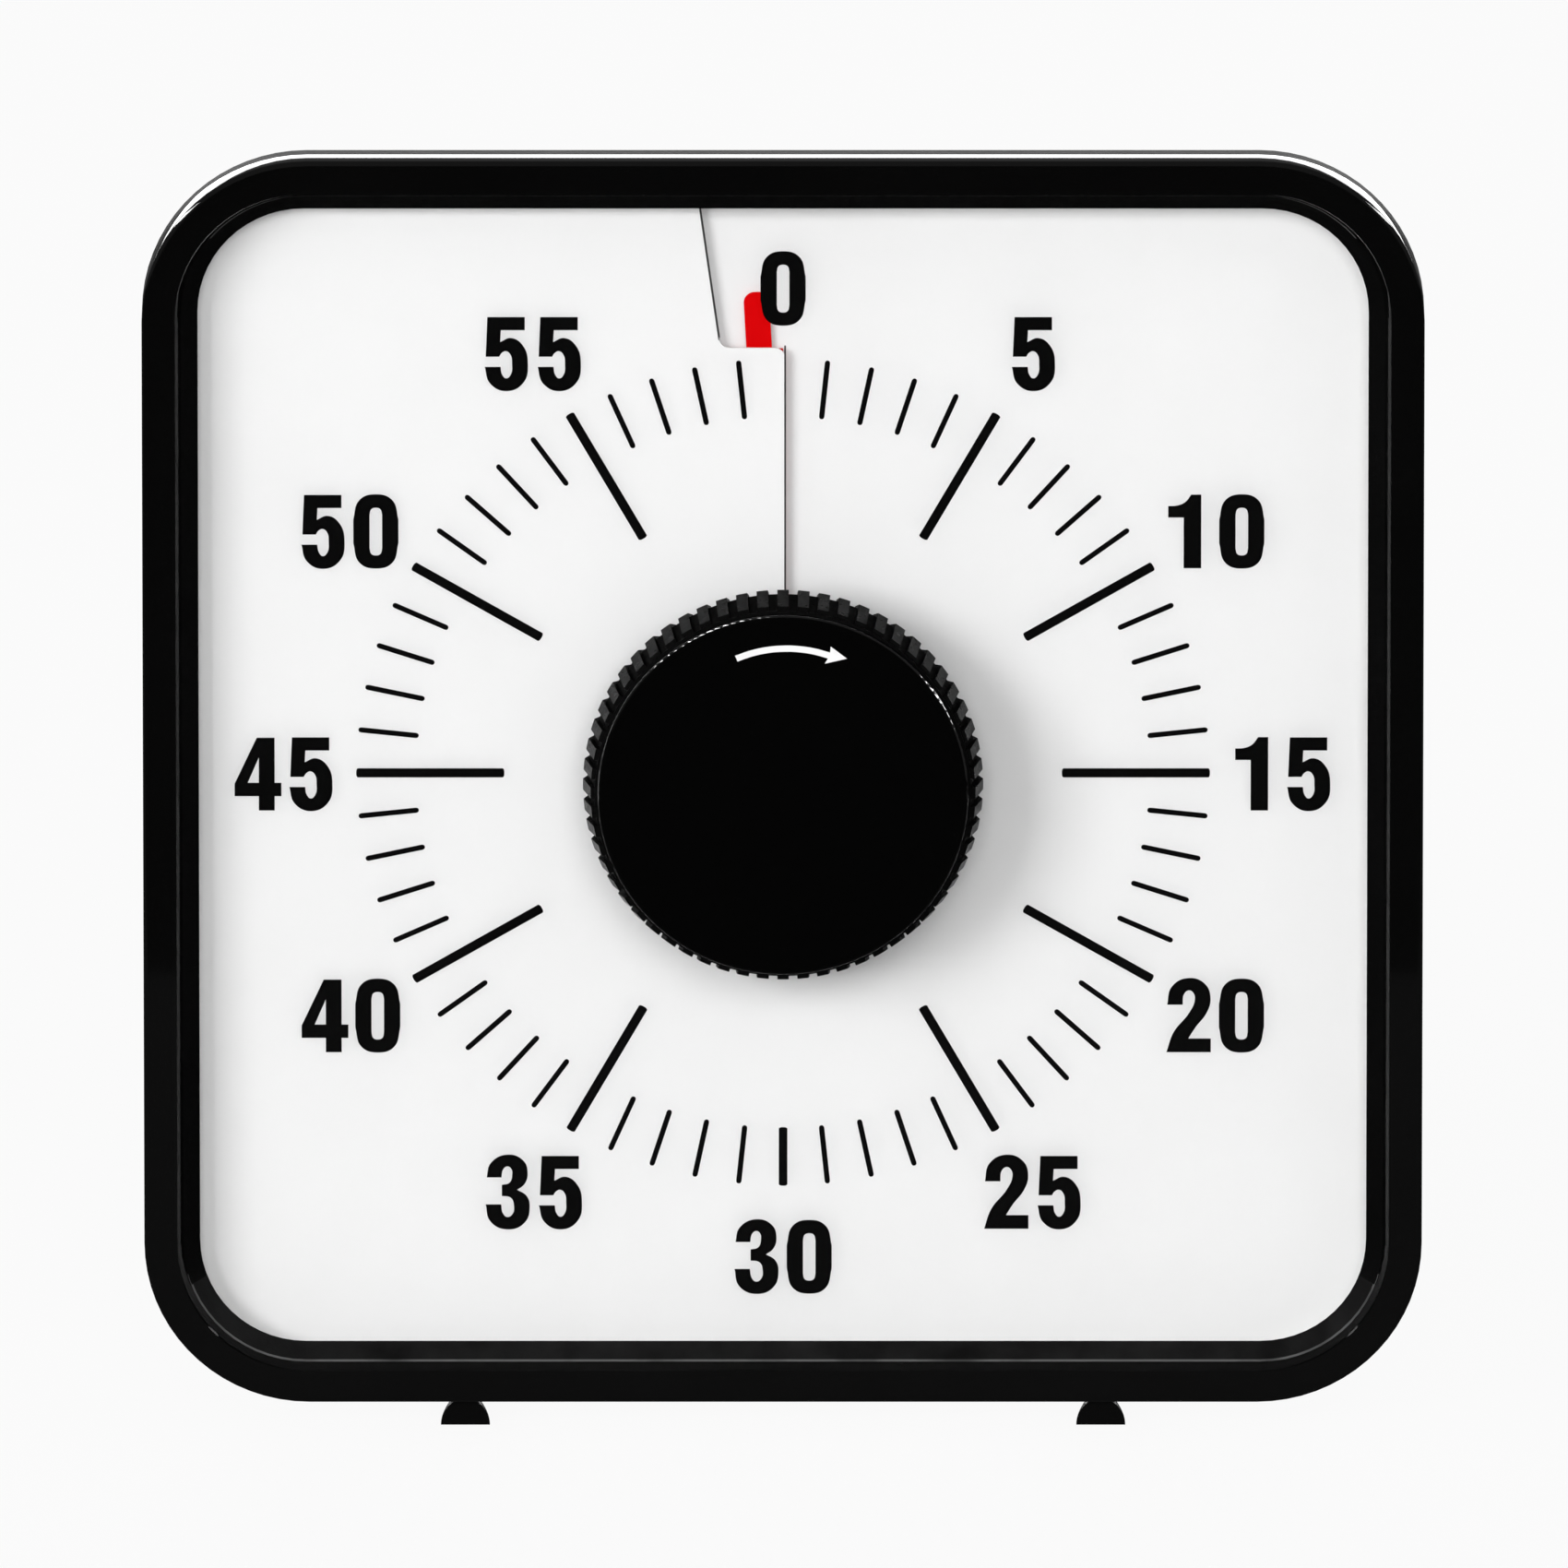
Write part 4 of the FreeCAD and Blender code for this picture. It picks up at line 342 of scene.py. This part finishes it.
def frame_plastic(thing):
    """Gloss black, dusty on the ledge, with painted highlight lines in the groove before the lip and along
    the upper edge of the step. The lip round the window and the band behind the seam are matte.
    """
    material, tree, shader = new_material("gloss_black_frame")
    shader.inputs["IOR"].default_value = 1.35
    half = (case_high.x - case_low.x) / 2
    side, depth, rise = from_axis(tree, thing)
    reach = corner_reach(tree, side, rise, half)
    inside = chain(tree, "LESS_THAN", reach, (CASE_CORNER - LIP_START) * MM)
    lip = chain(tree, "MULTIPLY", inside, chain(tree, "GREATER_THAN", depth, CREASE_DEPTH * MM))
    crease = chain(tree, "SUBTRACT", inside, lip)
    seam = chain(tree, "GREATER_THAN", depth, SEAM_DEPTH * MM)
    matte = chain(tree, "MAXIMUM", lip, seam)
    dull = chain(tree, "MAXIMUM", crease, matte)
    shine = chain(tree, "MULTIPLY_ADD", dull, MATTE_SHINE - GLOSS_SHINE, GLOSS_SHINE)
    tree.links.new(shine, shader.inputs["Specular IOR Level"])
    polish = spread(tree, noise(tree, POLISH_NOISE), 0.035, 0.06)
    tree.links.new(chain(tree, "MULTIPLY_ADD", matte, MATTE_ROUGH, polish), shader.inputs["Roughness"])
    # Dust on the lip, plus the painted highlight lines in the groove and along the upper rim
    dust_and_highlight = chain(tree, "MAXIMUM", ledge_dust(tree, depth, lip, inside), rim_line(tree, rise, reach, half))
    tone = chain(tree, "MINIMUM", noise(tree, DRIFT_NOISE), NOISE_HIGH)
    colour = tint(tree, shader, chain(tree, "MAXIMUM", dust_and_highlight, tone), grey(0.0016), grey(0.002))
    colour.color_ramp.elements.new(1.0).color = (*grey(DUST_AND_HIGHLIGHT_GREY), 1.0)
    grain = chain(tree, "MULTIPLY", matte, LIP_GRAIN_DEPTH)
    grain = chain(tree, "MULTIPLY", noise(tree, LIP_GRAIN_NOISE, 2.0), grain)
    bump(tree, shader, chain(tree, "ADD", side_crown(tree, depth, inside), grain), 1.0, 1.0)
    return material


def rib_plastic(thing):
    """Satin black, duller between the ribs than on them."""
    material, tree, shader = new_material("knob_rib_plastic")
    shader.inputs["IOR"].default_value = 1.12
    side, _, rise = from_axis(tree, thing)
    turn = chain(tree, "ARCTAN2", side, rise)
    wave = chain(tree, "COSINE", chain(tree, "MULTIPLY", turn, KNOB_RIBS))
    top = chain(tree, "GREATER_THAN", wave, RIB_EDGE)
    shine = chain(tree, "MULTIPLY_ADD", top, RIB_SHINE - RIB_GAP_SHINE, RIB_GAP_SHINE)
    tree.links.new(shine, shader.inputs["Specular IOR Level"])
    tint(tree, shader, noise(tree, DRIFT_NOISE), grey(0.0028), grey(0.0034))
    polish = spread(tree, noise(tree, RIB_POLISH_NOISE), 0.24, 0.4)
    tree.links.new(polish, shader.inputs["Roughness"])
    bump(tree, shader, noise(tree, GRAIN_NOISE, 2.0), 0.1, GRAIN_DEPTH)
    return material


def sheet_film(thing):
    """White film with a painted shade line, dark grey, along the cut edges of the slit and the notch's left
    side.
    """
    material = moulded("white_dial_film", grey(0.86), 0.5, drift=0.008, grain=0.05)
    tree = material.node_tree
    shader = tree.nodes["Principled BSDF"]
    side, _, rise = from_axis(tree, thing)
    climb = chain(tree, "SUBTRACT", rise, NOTCH_REACH * MM)
    slant = math.tan(math.radians(NOTCH_SLANT))
    notch_edge = chain(tree, "MULTIPLY_ADD", climb, -slant, -NOTCH_LEFT * MM)
    in_notch = chain(tree, "GREATER_THAN", climb, NOTCH_ROUND * MM)
    below_notch = chain(tree, "LESS_THAN", climb, 0.0)
    in_slit = chain(tree, "MULTIPLY", below_notch, chain(tree, "GREATER_THAN", rise, 0.0))
    # Painted shade: a dark grey line where the front sheet's cut edge shades the sheet behind it
    cut_shade = 0.0
    for part, edge in ((in_notch, notch_edge), (in_slit, SLIT_SHIFT * MM)):
        off = chain(tree, "ABSOLUTE", chain(tree, "SUBTRACT", side, edge))
        line = chain(tree, "MULTIPLY", chain(tree, "LESS_THAN", off, CUT_SHADE_WIDE * MM), part)
        cut_shade = chain(tree, "MAXIMUM", line, cut_shade)
    white = shader.inputs["Base Color"].links[0].from_socket
    blend = tree.nodes.new("ShaderNodeMix")
    blend.data_type = "RGBA"
    blend.inputs["B"].default_value = (*grey(CUT_SHADE_GREY), 1.0)
    tree.links.new(cut_shade, blend.inputs["Factor"])
    tree.links.new(white, blend.inputs["A"])
    tree.links.new(blend.outputs["Result"], shader.inputs["Base Color"])
    return material


def dress(thing, material):
    thing.data.materials.clear()
    thing.data.materials.append(material)


MATERIALS = {
    "gloss_black": moulded("gloss_black_plastic", grey(0.0018), 0.05, ior=1.35, ripple=0.03),
    "satin_black": moulded("satin_black_plastic", grey(0.0025), 0.3, ior=1.3, grain=0.1),
    "clear": clear_sheet("clear_cover_plastic"),
    "white_sheet": moulded("white_film", grey(0.86), 0.5, drift=0.008, grain=0.05),
    "red_film": moulded("red_disc_film", (0.66, 0.0, 0.001), 0.6, ior=1.15, grain=0.05),
    "white_plastic": moulded("white_moulded_plastic", (0.78, 0.78, 0.76), 0.4, grain=0.2),
    "brass": metal("brushed_brass", (0.80, 0.62, 0.30), 0.3, True),
    "steel": metal("bright_steel", (0.62, 0.63, 0.65), 0.25, False),
    "spring_steel": metal("blued_steel", (0.30, 0.33, 0.40), 0.3, False),
    "nickel": metal("nickel_plate", (0.78, 0.77, 0.75), 0.16, False),
}
slot_of = {entry["node"]: entry["material_slot"] for entry in frame["record"]["subparts"]}
nodes = frame["nodes"]
for name, thing in nodes.items():
    dress(thing, MATERIALS[slot_of[name]])
foot_black = moulded("foot_black_plastic", grey(0.0015), 0.2, ior=1.3, grain=0.1)
dress(nodes["dial_sheet"], sheet_film(nodes["dial_sheet"]))
dress(nodes["knob_cap"], moulded("gloss_black_face", grey(0.0008), 0.04, ior=1.5))
dress(nodes["knob_body"], rib_plastic(nodes["knob_body"]))
dress(nodes["swing_foot_left"], foot_black)
dress(nodes["swing_foot_right"], foot_black)
dress(nodes["front_frame"], frame_plastic(nodes["front_frame"]))
ink = moulded("black_ink", grey(0.0015), 0.5, ior=1.2, grain=0.05)
paint = moulded("white_paint", grey(0.88), 0.45, grain=0.05)


# Flat printed shapes: closed outlines of (x, z, smooth) points in millimetres, the outer one first
def flat_mesh(name, outlines, thick):
    """A thin solid with its back at the plane y = 0, from outlines in the XZ plane."""
    curve = bpy.data.curves.new(name, "CURVE")
    curve.dimensions = "2D"
    curve.fill_mode = "BOTH"
    curve.resolution_u = 8
    curve.extrude = thick * MM / 2
    for outline in outlines:
        spline = curve.splines.new("BEZIER")
        spline.bezier_points.add(len(outline) - 1)
        spline.use_cyclic_u = True
        for point, (x, z, smooth) in zip(spline.bezier_points, outline):
            point.co = (x * MM, z * MM, 0.0)
            kind = "AUTO" if smooth else "VECTOR"
            point.handle_left_type = kind
            point.handle_right_type = kind
    holder = bpy.data.objects.new(name, curve)
    bpy.context.scene.collection.objects.link(holder)
    bpy.context.view_layer.update()
    filled = holder.evaluated_get(bpy.context.evaluated_depsgraph_get())
    mesh = bpy.data.meshes.new_from_object(filled)
    bpy.data.objects.remove(holder)
    bpy.data.curves.remove(curve)
    for vertex in mesh.vertices:
        x, z, y = vertex.co
        vertex.co = (x, -y, z)
    return mesh


def join_meshes(name, meshes):
    """One object from several meshes."""
    shape = bmesh.new()
    for mesh in meshes:
        shape.from_mesh(mesh)
        bpy.data.meshes.remove(mesh)
    bmesh.ops.remove_doubles(shape, verts=shape.verts, dist=1e-7)
    bmesh.ops.recalc_face_normals(shape, faces=shape.faces)
    joined = bpy.data.meshes.new(name)
    shape.to_mesh(joined)
    shape.free()
    thing = bpy.data.objects.new(name, joined)
    bpy.context.scene.collection.objects.link(thing)
    return thing


def printed(name, meshes, material, body, depth):
    """Places printed shapes at a depth in front of the dial's axis."""
    thing = join_meshes(name, meshes)
    thing.data.transform(Matrix.Translation(Vector((AXIS_X, depth, AXIS_Z))))
    thing.data.materials.append(material)
    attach(thing, body)
    return thing


def around(radius, degrees):
    """A point at an angle clockwise from the top, seen from the front."""
    turn = math.radians(degrees)
    return radius * math.sin(turn), radius * math.cos(turn)


def tick(degrees, inner, wide, blunt):
    """A scale line with rounded ends, or nearly square ones when blunt."""
    half = wide / 2
    cap = half * BLUNT_END if blunt else half
    slack = half * END_SHOULDER
    curve = cap * END_CURVE
    along = [
        (inner + cap, half, False),
        (TICK_OUTER - cap, half, False),
        (TICK_OUTER - curve, slack, True),
        (TICK_OUTER, 0.0, True),
        (TICK_OUTER - curve, -slack, True),
        (TICK_OUTER - cap, -half, False),
        (inner + cap, -half, False),
        (inner + curve, -slack, True),
        (inner, 0.0, True),
        (inner + curve, slack, True),
    ]
    turn = math.radians(degrees)
    outline = []
    for reach, side, smooth in along:
        x = reach * math.sin(turn) + side * math.cos(turn)
        z = reach * math.cos(turn) - side * math.sin(turn)
        outline.append((x, z, smooth))
    return [outline]


def sharp(x, z):
    return (x, z, False)


def soft(x, z):
    return (x, z, True)


# Numerals in the style of a bold condensed face, 11.3 mm high, from the lower left corner
def oval(left, right, low, high):
    """An upright rounded shape with straight sides, as of a bold nought."""
    middle = (left + right) / 2
    round_x = (right - left) / 2
    lift = round_x * OVAL_LIFT
    side = round_x * OVAL_SHOULDER_SIDE
    drop = lift * OVAL_SHOULDER_DROP
    upper = [
        sharp(left, high - lift),
        soft(middle - side, high - drop),
        soft(middle, high),
        soft(middle + side, high - drop),
        sharp(right, high - lift),
    ]
    lower = [
        sharp(right, low + lift),
        soft(middle + side, low + drop),
        soft(middle, low),
        soft(middle - side, low + drop),
        sharp(left, low + lift),
    ]
    return upper + lower


ZERO = [oval(0.0, 6.7, -0.05, 11.3), oval(2.42, 4.28, 1.95, 9.25)]
ONE = [[
    sharp(4.9, 0.0), sharp(4.9, 11.25), sharp(3.4, 11.25), soft(2.5, 10.1), soft(1.4, 9.6),
    sharp(0.0, 9.5), sharp(0.0, 7.75), sharp(2.3, 7.75), sharp(2.3, 0.0),
]]
TWO = [[
    sharp(0.1, 7.3), soft(0.8, 10.1), soft(3.4, 11.4), soft(5.8, 10.4), soft(6.55, 8.2),
    soft(6.0, 6.1), soft(4.3, 3.8), sharp(3.25, 2.1), sharp(6.6, 2.1), sharp(6.6, 0.0),
    sharp(0.0, 0.0), soft(1.05, 3.05), soft(3.4, 6.1), soft(4.2, 8.0), soft(4.0, 9.1),
    soft(3.35, 9.5), soft(2.65, 9.0), sharp(2.4, 7.3),
]]
THREE = [[
    sharp(0.15, 7.9), soft(0.75, 10.1), soft(3.25, 11.4), soft(5.6, 10.5), soft(6.25, 8.6),
    soft(5.8, 6.9), sharp(4.7, 6.0), soft(6.1, 5.05), soft(6.55, 3.4), soft(5.8, 0.95),
    soft(3.25, -0.1), soft(0.7, 1.1), sharp(0.0, 3.75), sharp(2.3, 3.75), soft(2.6, 2.3),
    soft(3.25, 1.8), soft(4.0, 2.3), soft(4.2, 3.5), soft(3.75, 4.75), sharp(2.4, 5.05),
    sharp(2.4, 6.75), soft(3.55, 7.1), soft(3.95, 8.4), soft(3.8, 9.25), soft(3.25, 9.6),
    soft(2.65, 9.2), sharp(2.35, 7.9),
]]
FOUR = [
    [
        sharp(3.3, 11.15), sharp(5.95, 11.15), sharp(5.95, 4.25), sharp(6.95, 4.25),
        sharp(6.95, 2.2), sharp(5.95, 2.2), sharp(5.95, 0.0), sharp(3.6, 0.0), sharp(3.6, 2.2),
        sharp(0.0, 2.2), sharp(0.0, 4.1),
    ],
    [sharp(3.6, 8.1), sharp(3.6, 4.25), sharp(1.95, 4.25)],
]
FIVE = [[
    sharp(0.4, 11.2), sharp(5.95, 11.2), sharp(5.95, 9.2), sharp(2.4, 9.2), sharp(2.3, 7.4),
    soft(3.95, 8.0), soft(5.7, 6.8), soft(6.4, 4.1), soft(5.75, 1.2), soft(3.25, -0.1),
    soft(0.8, 1.05), sharp(0.0, 3.6), sharp(2.35, 3.6), soft(2.6, 2.4), soft(3.2, 1.85),
    soft(3.85, 2.4), soft(4.05, 4.0), soft(3.8, 5.5), soft(3.15, 6.0), soft(2.5, 5.7),
    sharp(2.15, 5.15), sharp(0.15, 5.15),
]]
DIGITS = {"0": ZERO, "1": ONE, "2": TWO, "3": THREE, "4": FOUR, "5": FIVE}


def digit_width(digit):
    return max(x for x, z, smooth in DIGITS[digit][0])


def moved(lines, shift_x, shift_z):
    return [[(x + shift_x, z + shift_z, smooth) for x, z, smooth in line] for line in lines]


def numeral(text, middle_x, middle_z):
    """The outlines of a number whose box is centred at a point. The 1 stands a little left in its cell."""
    shapes = []
    for place, digit in enumerate(text):
        lean = ONE_LEAN if digit == "1" else 0.0
        left = place * NUMERAL_ADVANCE - digit_width(digit) / 2 + lean
        shapes.append(moved(DIGITS[digit], left, 0.0))
    wide = [x for shape in shapes for line in shape for x, z, smooth in line]
    shift_x = middle_x - (min(wide) + max(wide)) / 2
    shift_z = middle_z - NUMERAL_HIGH / 2 - NUMERAL_DROP
    return [moved(shape, shift_x, shift_z) for shape in shapes]


def make_scale():
    meshes = []
    for minute in range(1, 60):
        major = minute % 5 == 0 and minute != 30
        inner = MAJOR_INNER if major else MINOR_INNER
        wide = MAJOR_WIDE if major else MINOR_WIDE
        if minute == 30:
            wide = SHORT_WIDE
        lines = tick(6 * minute, inner, wide, major or minute == 30)
        meshes.append(flat_mesh(f"tick_{minute}", lines, INK_THICK))
    for minute in range(0, 60, 5):
        for number, lines in enumerate(numeral(str(minute), *around(NUMERAL_RADIUS, 6 * minute))):
            meshes.append(flat_mesh(f"numeral_{minute}_{number}", lines, INK_THICK))
    depth = PRINT_Y + (INK_GAP + INK_THICK / 2) * MM
    scale = printed("scale_print", meshes, ink, "case", depth)
    scale.visible_shadow = False
    return scale


def arrow_side(radius):
    """Points along one side of the arrow's shaft, smooth apart from the ends."""
    points = []
    for step in range(ARROW_STEPS + 1):
        angle = ARROW_START + (ARROW_NECK - ARROW_START) * step / ARROW_STEPS
        points.append((*around(radius, angle), 0 < step < ARROW_STEPS))
    return points


def make_arrow():
    """Curved arrow on the knob's face, clockwise."""
    half = ARROW_WIDE / 2
    outer = arrow_side(ARROW_RADIUS + half)
    inner = arrow_side(ARROW_RADIUS - half)
    back = ARROW_NECK - ARROW_BARB
    high = (*around(ARROW_RADIUS + ARROW_HEAD / 2, back), False)
    tip = (*around(ARROW_RADIUS + ARROW_RISE, ARROW_TIP), False)
    low = (*around(ARROW_RADIUS - ARROW_HEAD / 2, back), False)
    outlines = moved([outer + [high, tip, low] + inner[::-1]], *ARROW_CENTRE)
    mesh = flat_mesh("arrow", outlines, PAINT_THICK)
    depth = FACE_Y - PAINT_THICK * MM / 2
    return printed("knob_arrow", [mesh], paint, "knob", depth)


make_scale()
make_arrow()


# Stage: a pale floor whose far front part isn't white in reflections, as where a table ends
FLOOR_HALF = 6.0
FLOOR_WHITE_SHARE = 0.93
TABLE_EDGE = 0.27
NEAR_GLOW = 0.1
FAR_GLOW = 0.015
ROOM_LIGHT = 0.25


def floor_material():
    """Pale where light falls on it, white where the camera sees it directly, and dim in reflections."""
    material, tree, shader = new_material("pale_floor")
    shader.inputs["Roughness"].default_value = 0.7
    shader.inputs["IOR"].default_value = 1.2
    tint(tree, shader, noise(tree, 8.0), grey(0.54), grey(0.56))
    path = tree.nodes.new("ShaderNodeLightPath")
    white = tree.nodes.new("ShaderNodeEmission")
    white.inputs["Color"].default_value = (*grey(1.0), 1.0)
    white.inputs["Strength"].default_value = 1.0
    place = tree.nodes.new("ShaderNodeNewGeometry")
    split = tree.nodes.new("ShaderNodeSeparateXYZ")
    tree.links.new(place.outputs["Position"], split.inputs["Vector"])
    near = chain(tree, "GREATER_THAN", split.outputs["Y"], FRONT_Y - TABLE_EDGE)
    dim = tree.nodes.new("ShaderNodeEmission")
    tree.links.new(chain(tree, "MULTIPLY_ADD", near, NEAR_GLOW, FAR_GLOW), dim.inputs["Strength"])
    seen = chain(tree, "MAXIMUM", path.outputs["Is Camera Ray"], path.outputs["Is Transmission Ray"])
    direct = tree.nodes.new("ShaderNodeMixShader")
    tree.links.new(chain(tree, "MULTIPLY", seen, FLOOR_WHITE_SHARE), direct.inputs["Fac"])
    tree.links.new(shader.outputs["BSDF"], direct.inputs[1])
    tree.links.new(white.outputs["Emission"], direct.inputs[2])
    table = tree.nodes.new("ShaderNodeMixShader")
    tree.links.new(path.outputs["Is Glossy Ray"], table.inputs["Fac"])
    tree.links.new(direct.outputs["Shader"], table.inputs[1])
    tree.links.new(dim.outputs["Emission"], table.inputs[2])
    tree.links.new(table.outputs["Shader"], tree.nodes["Material Output"].inputs["Surface"])
    return material


def make_floor():
    side = FLOOR_HALF
    mesh = bpy.data.meshes.new("floor")
    corners = [(-side, -side, 0.0), (side, -side, 0.0), (side, side, 0.0), (-side, side, 0.0)]
    mesh.from_pydata(corners, [], [(0, 1, 2, 3)])
    floor = bpy.data.objects.new("floor", mesh)
    bpy.context.scene.collection.objects.link(floor)
    floor.data.materials.append(floor_material())


def make_world():
    """Soft even room light, and white where it is seen directly."""
    world = bpy.data.worlds.new("studio")
    bpy.context.scene.world = world
    world.use_nodes = True
    tree = world.node_tree
    room = tree.nodes["Background"]
    room.inputs["Color"].default_value = (*grey(1.0), 1.0)
    room.inputs["Strength"].default_value = ROOM_LIGHT
    white = tree.nodes.new("ShaderNodeBackground")
    white.inputs["Strength"].default_value = 1.0
    path = tree.nodes.new("ShaderNodeLightPath")
    blend = tree.nodes.new("ShaderNodeMixShader")
    tree.links.new(path.outputs["Is Camera Ray"], blend.inputs["Fac"])
    tree.links.new(room.outputs["Background"], blend.inputs[1])
    tree.links.new(white.outputs["Background"], blend.inputs[2])
    tree.links.new(blend.outputs["Shader"], tree.nodes["World Output"].inputs["Surface"])


def softbox(name, place, target, wide, high, watts):
    """A rectangular lamp that isn't seen itself."""
    data = bpy.data.lights.new(name, "AREA")
    data.shape = "RECTANGLE"
    data.size = wide
    data.size_y = high
    data.energy = watts
    lamp = bpy.data.objects.new(name, data)
    bpy.context.scene.collection.objects.link(lamp)
    lamp.location = place
    aim = Vector(target) - Vector(place)
    lamp.rotation_euler = aim.to_track_quat("-Z", "Y").to_euler()
    lamp.visible_camera = False
    return lamp


def make_lights():
    """Lamps in front light the dial. The panels only show in glossy parts, as the strips of light there."""
    middle = (AXIS_X, FRONT_Y, AXIS_Z)
    lamps = [
        softbox("key_left", (-3.1, -3.5, 1.35), middle, 2.1, 2.1, 138.0),
        softbox("front_soft", (0.3, -4.8, 2.0), middle, 2.8, 2.2, 120.0),
    ]
    for lamp in lamps:
        lamp.visible_glossy = False
    panels = [
        softbox("back_panel", (0.0, 2.2, 0.735), (0.0, 0.0, 0.735), 4.4, 0.97, 100.0),
        softbox("strip_left", (-2.4, -0.45, 1.55), middle, 3.0, 0.35, 150.0),
        softbox("strip_right", (2.4, -0.45, 1.55), middle, 3.0, 0.35, 130.0),
    ]
    for panel in panels:
        panel.visible_diffuse = False


def make_camera():
    """Aims so that the dial's axis meets the print's plane where the photograph has it."""
    data = bpy.data.cameras.new("camera")
    data.sensor_width = SENSOR_WIDE
    data.lens = data.sensor_width * CAMERA_FAR * PHOTO_SCALE / (PHOTO_SIDE * MM)
    camera = bpy.data.objects.new("camera", data)
    bpy.context.scene.collection.objects.link(camera)
    right = Vector((1.0, 0.0, 0.0))
    up = Vector((0.0, math.sin(CAMERA_TILT), math.cos(CAMERA_TILT)))
    away = Vector((0.0, -math.cos(CAMERA_TILT), math.sin(CAMERA_TILT)))
    axis = Vector((AXIS_X, PRINT_Y, AXIS_Z))
    half = PHOTO_SIDE / 2
    target = axis + right * ((half - PHOTO_AXIS[0]) / PHOTO_SCALE * MM)
    target -= up * ((half - PHOTO_AXIS[1]) / PHOTO_SCALE * MM)
    camera.location = target + away * CAMERA_FAR
    camera.rotation_euler = (-away).to_track_quat("-Z", "Y").to_euler()
    data.clip_end = CAMERA_CLIP
    bpy.context.scene.camera = camera


make_floor()
make_world()
make_lights()
make_camera()
bpy.context.scene.view_settings.view_transform = "Standard"
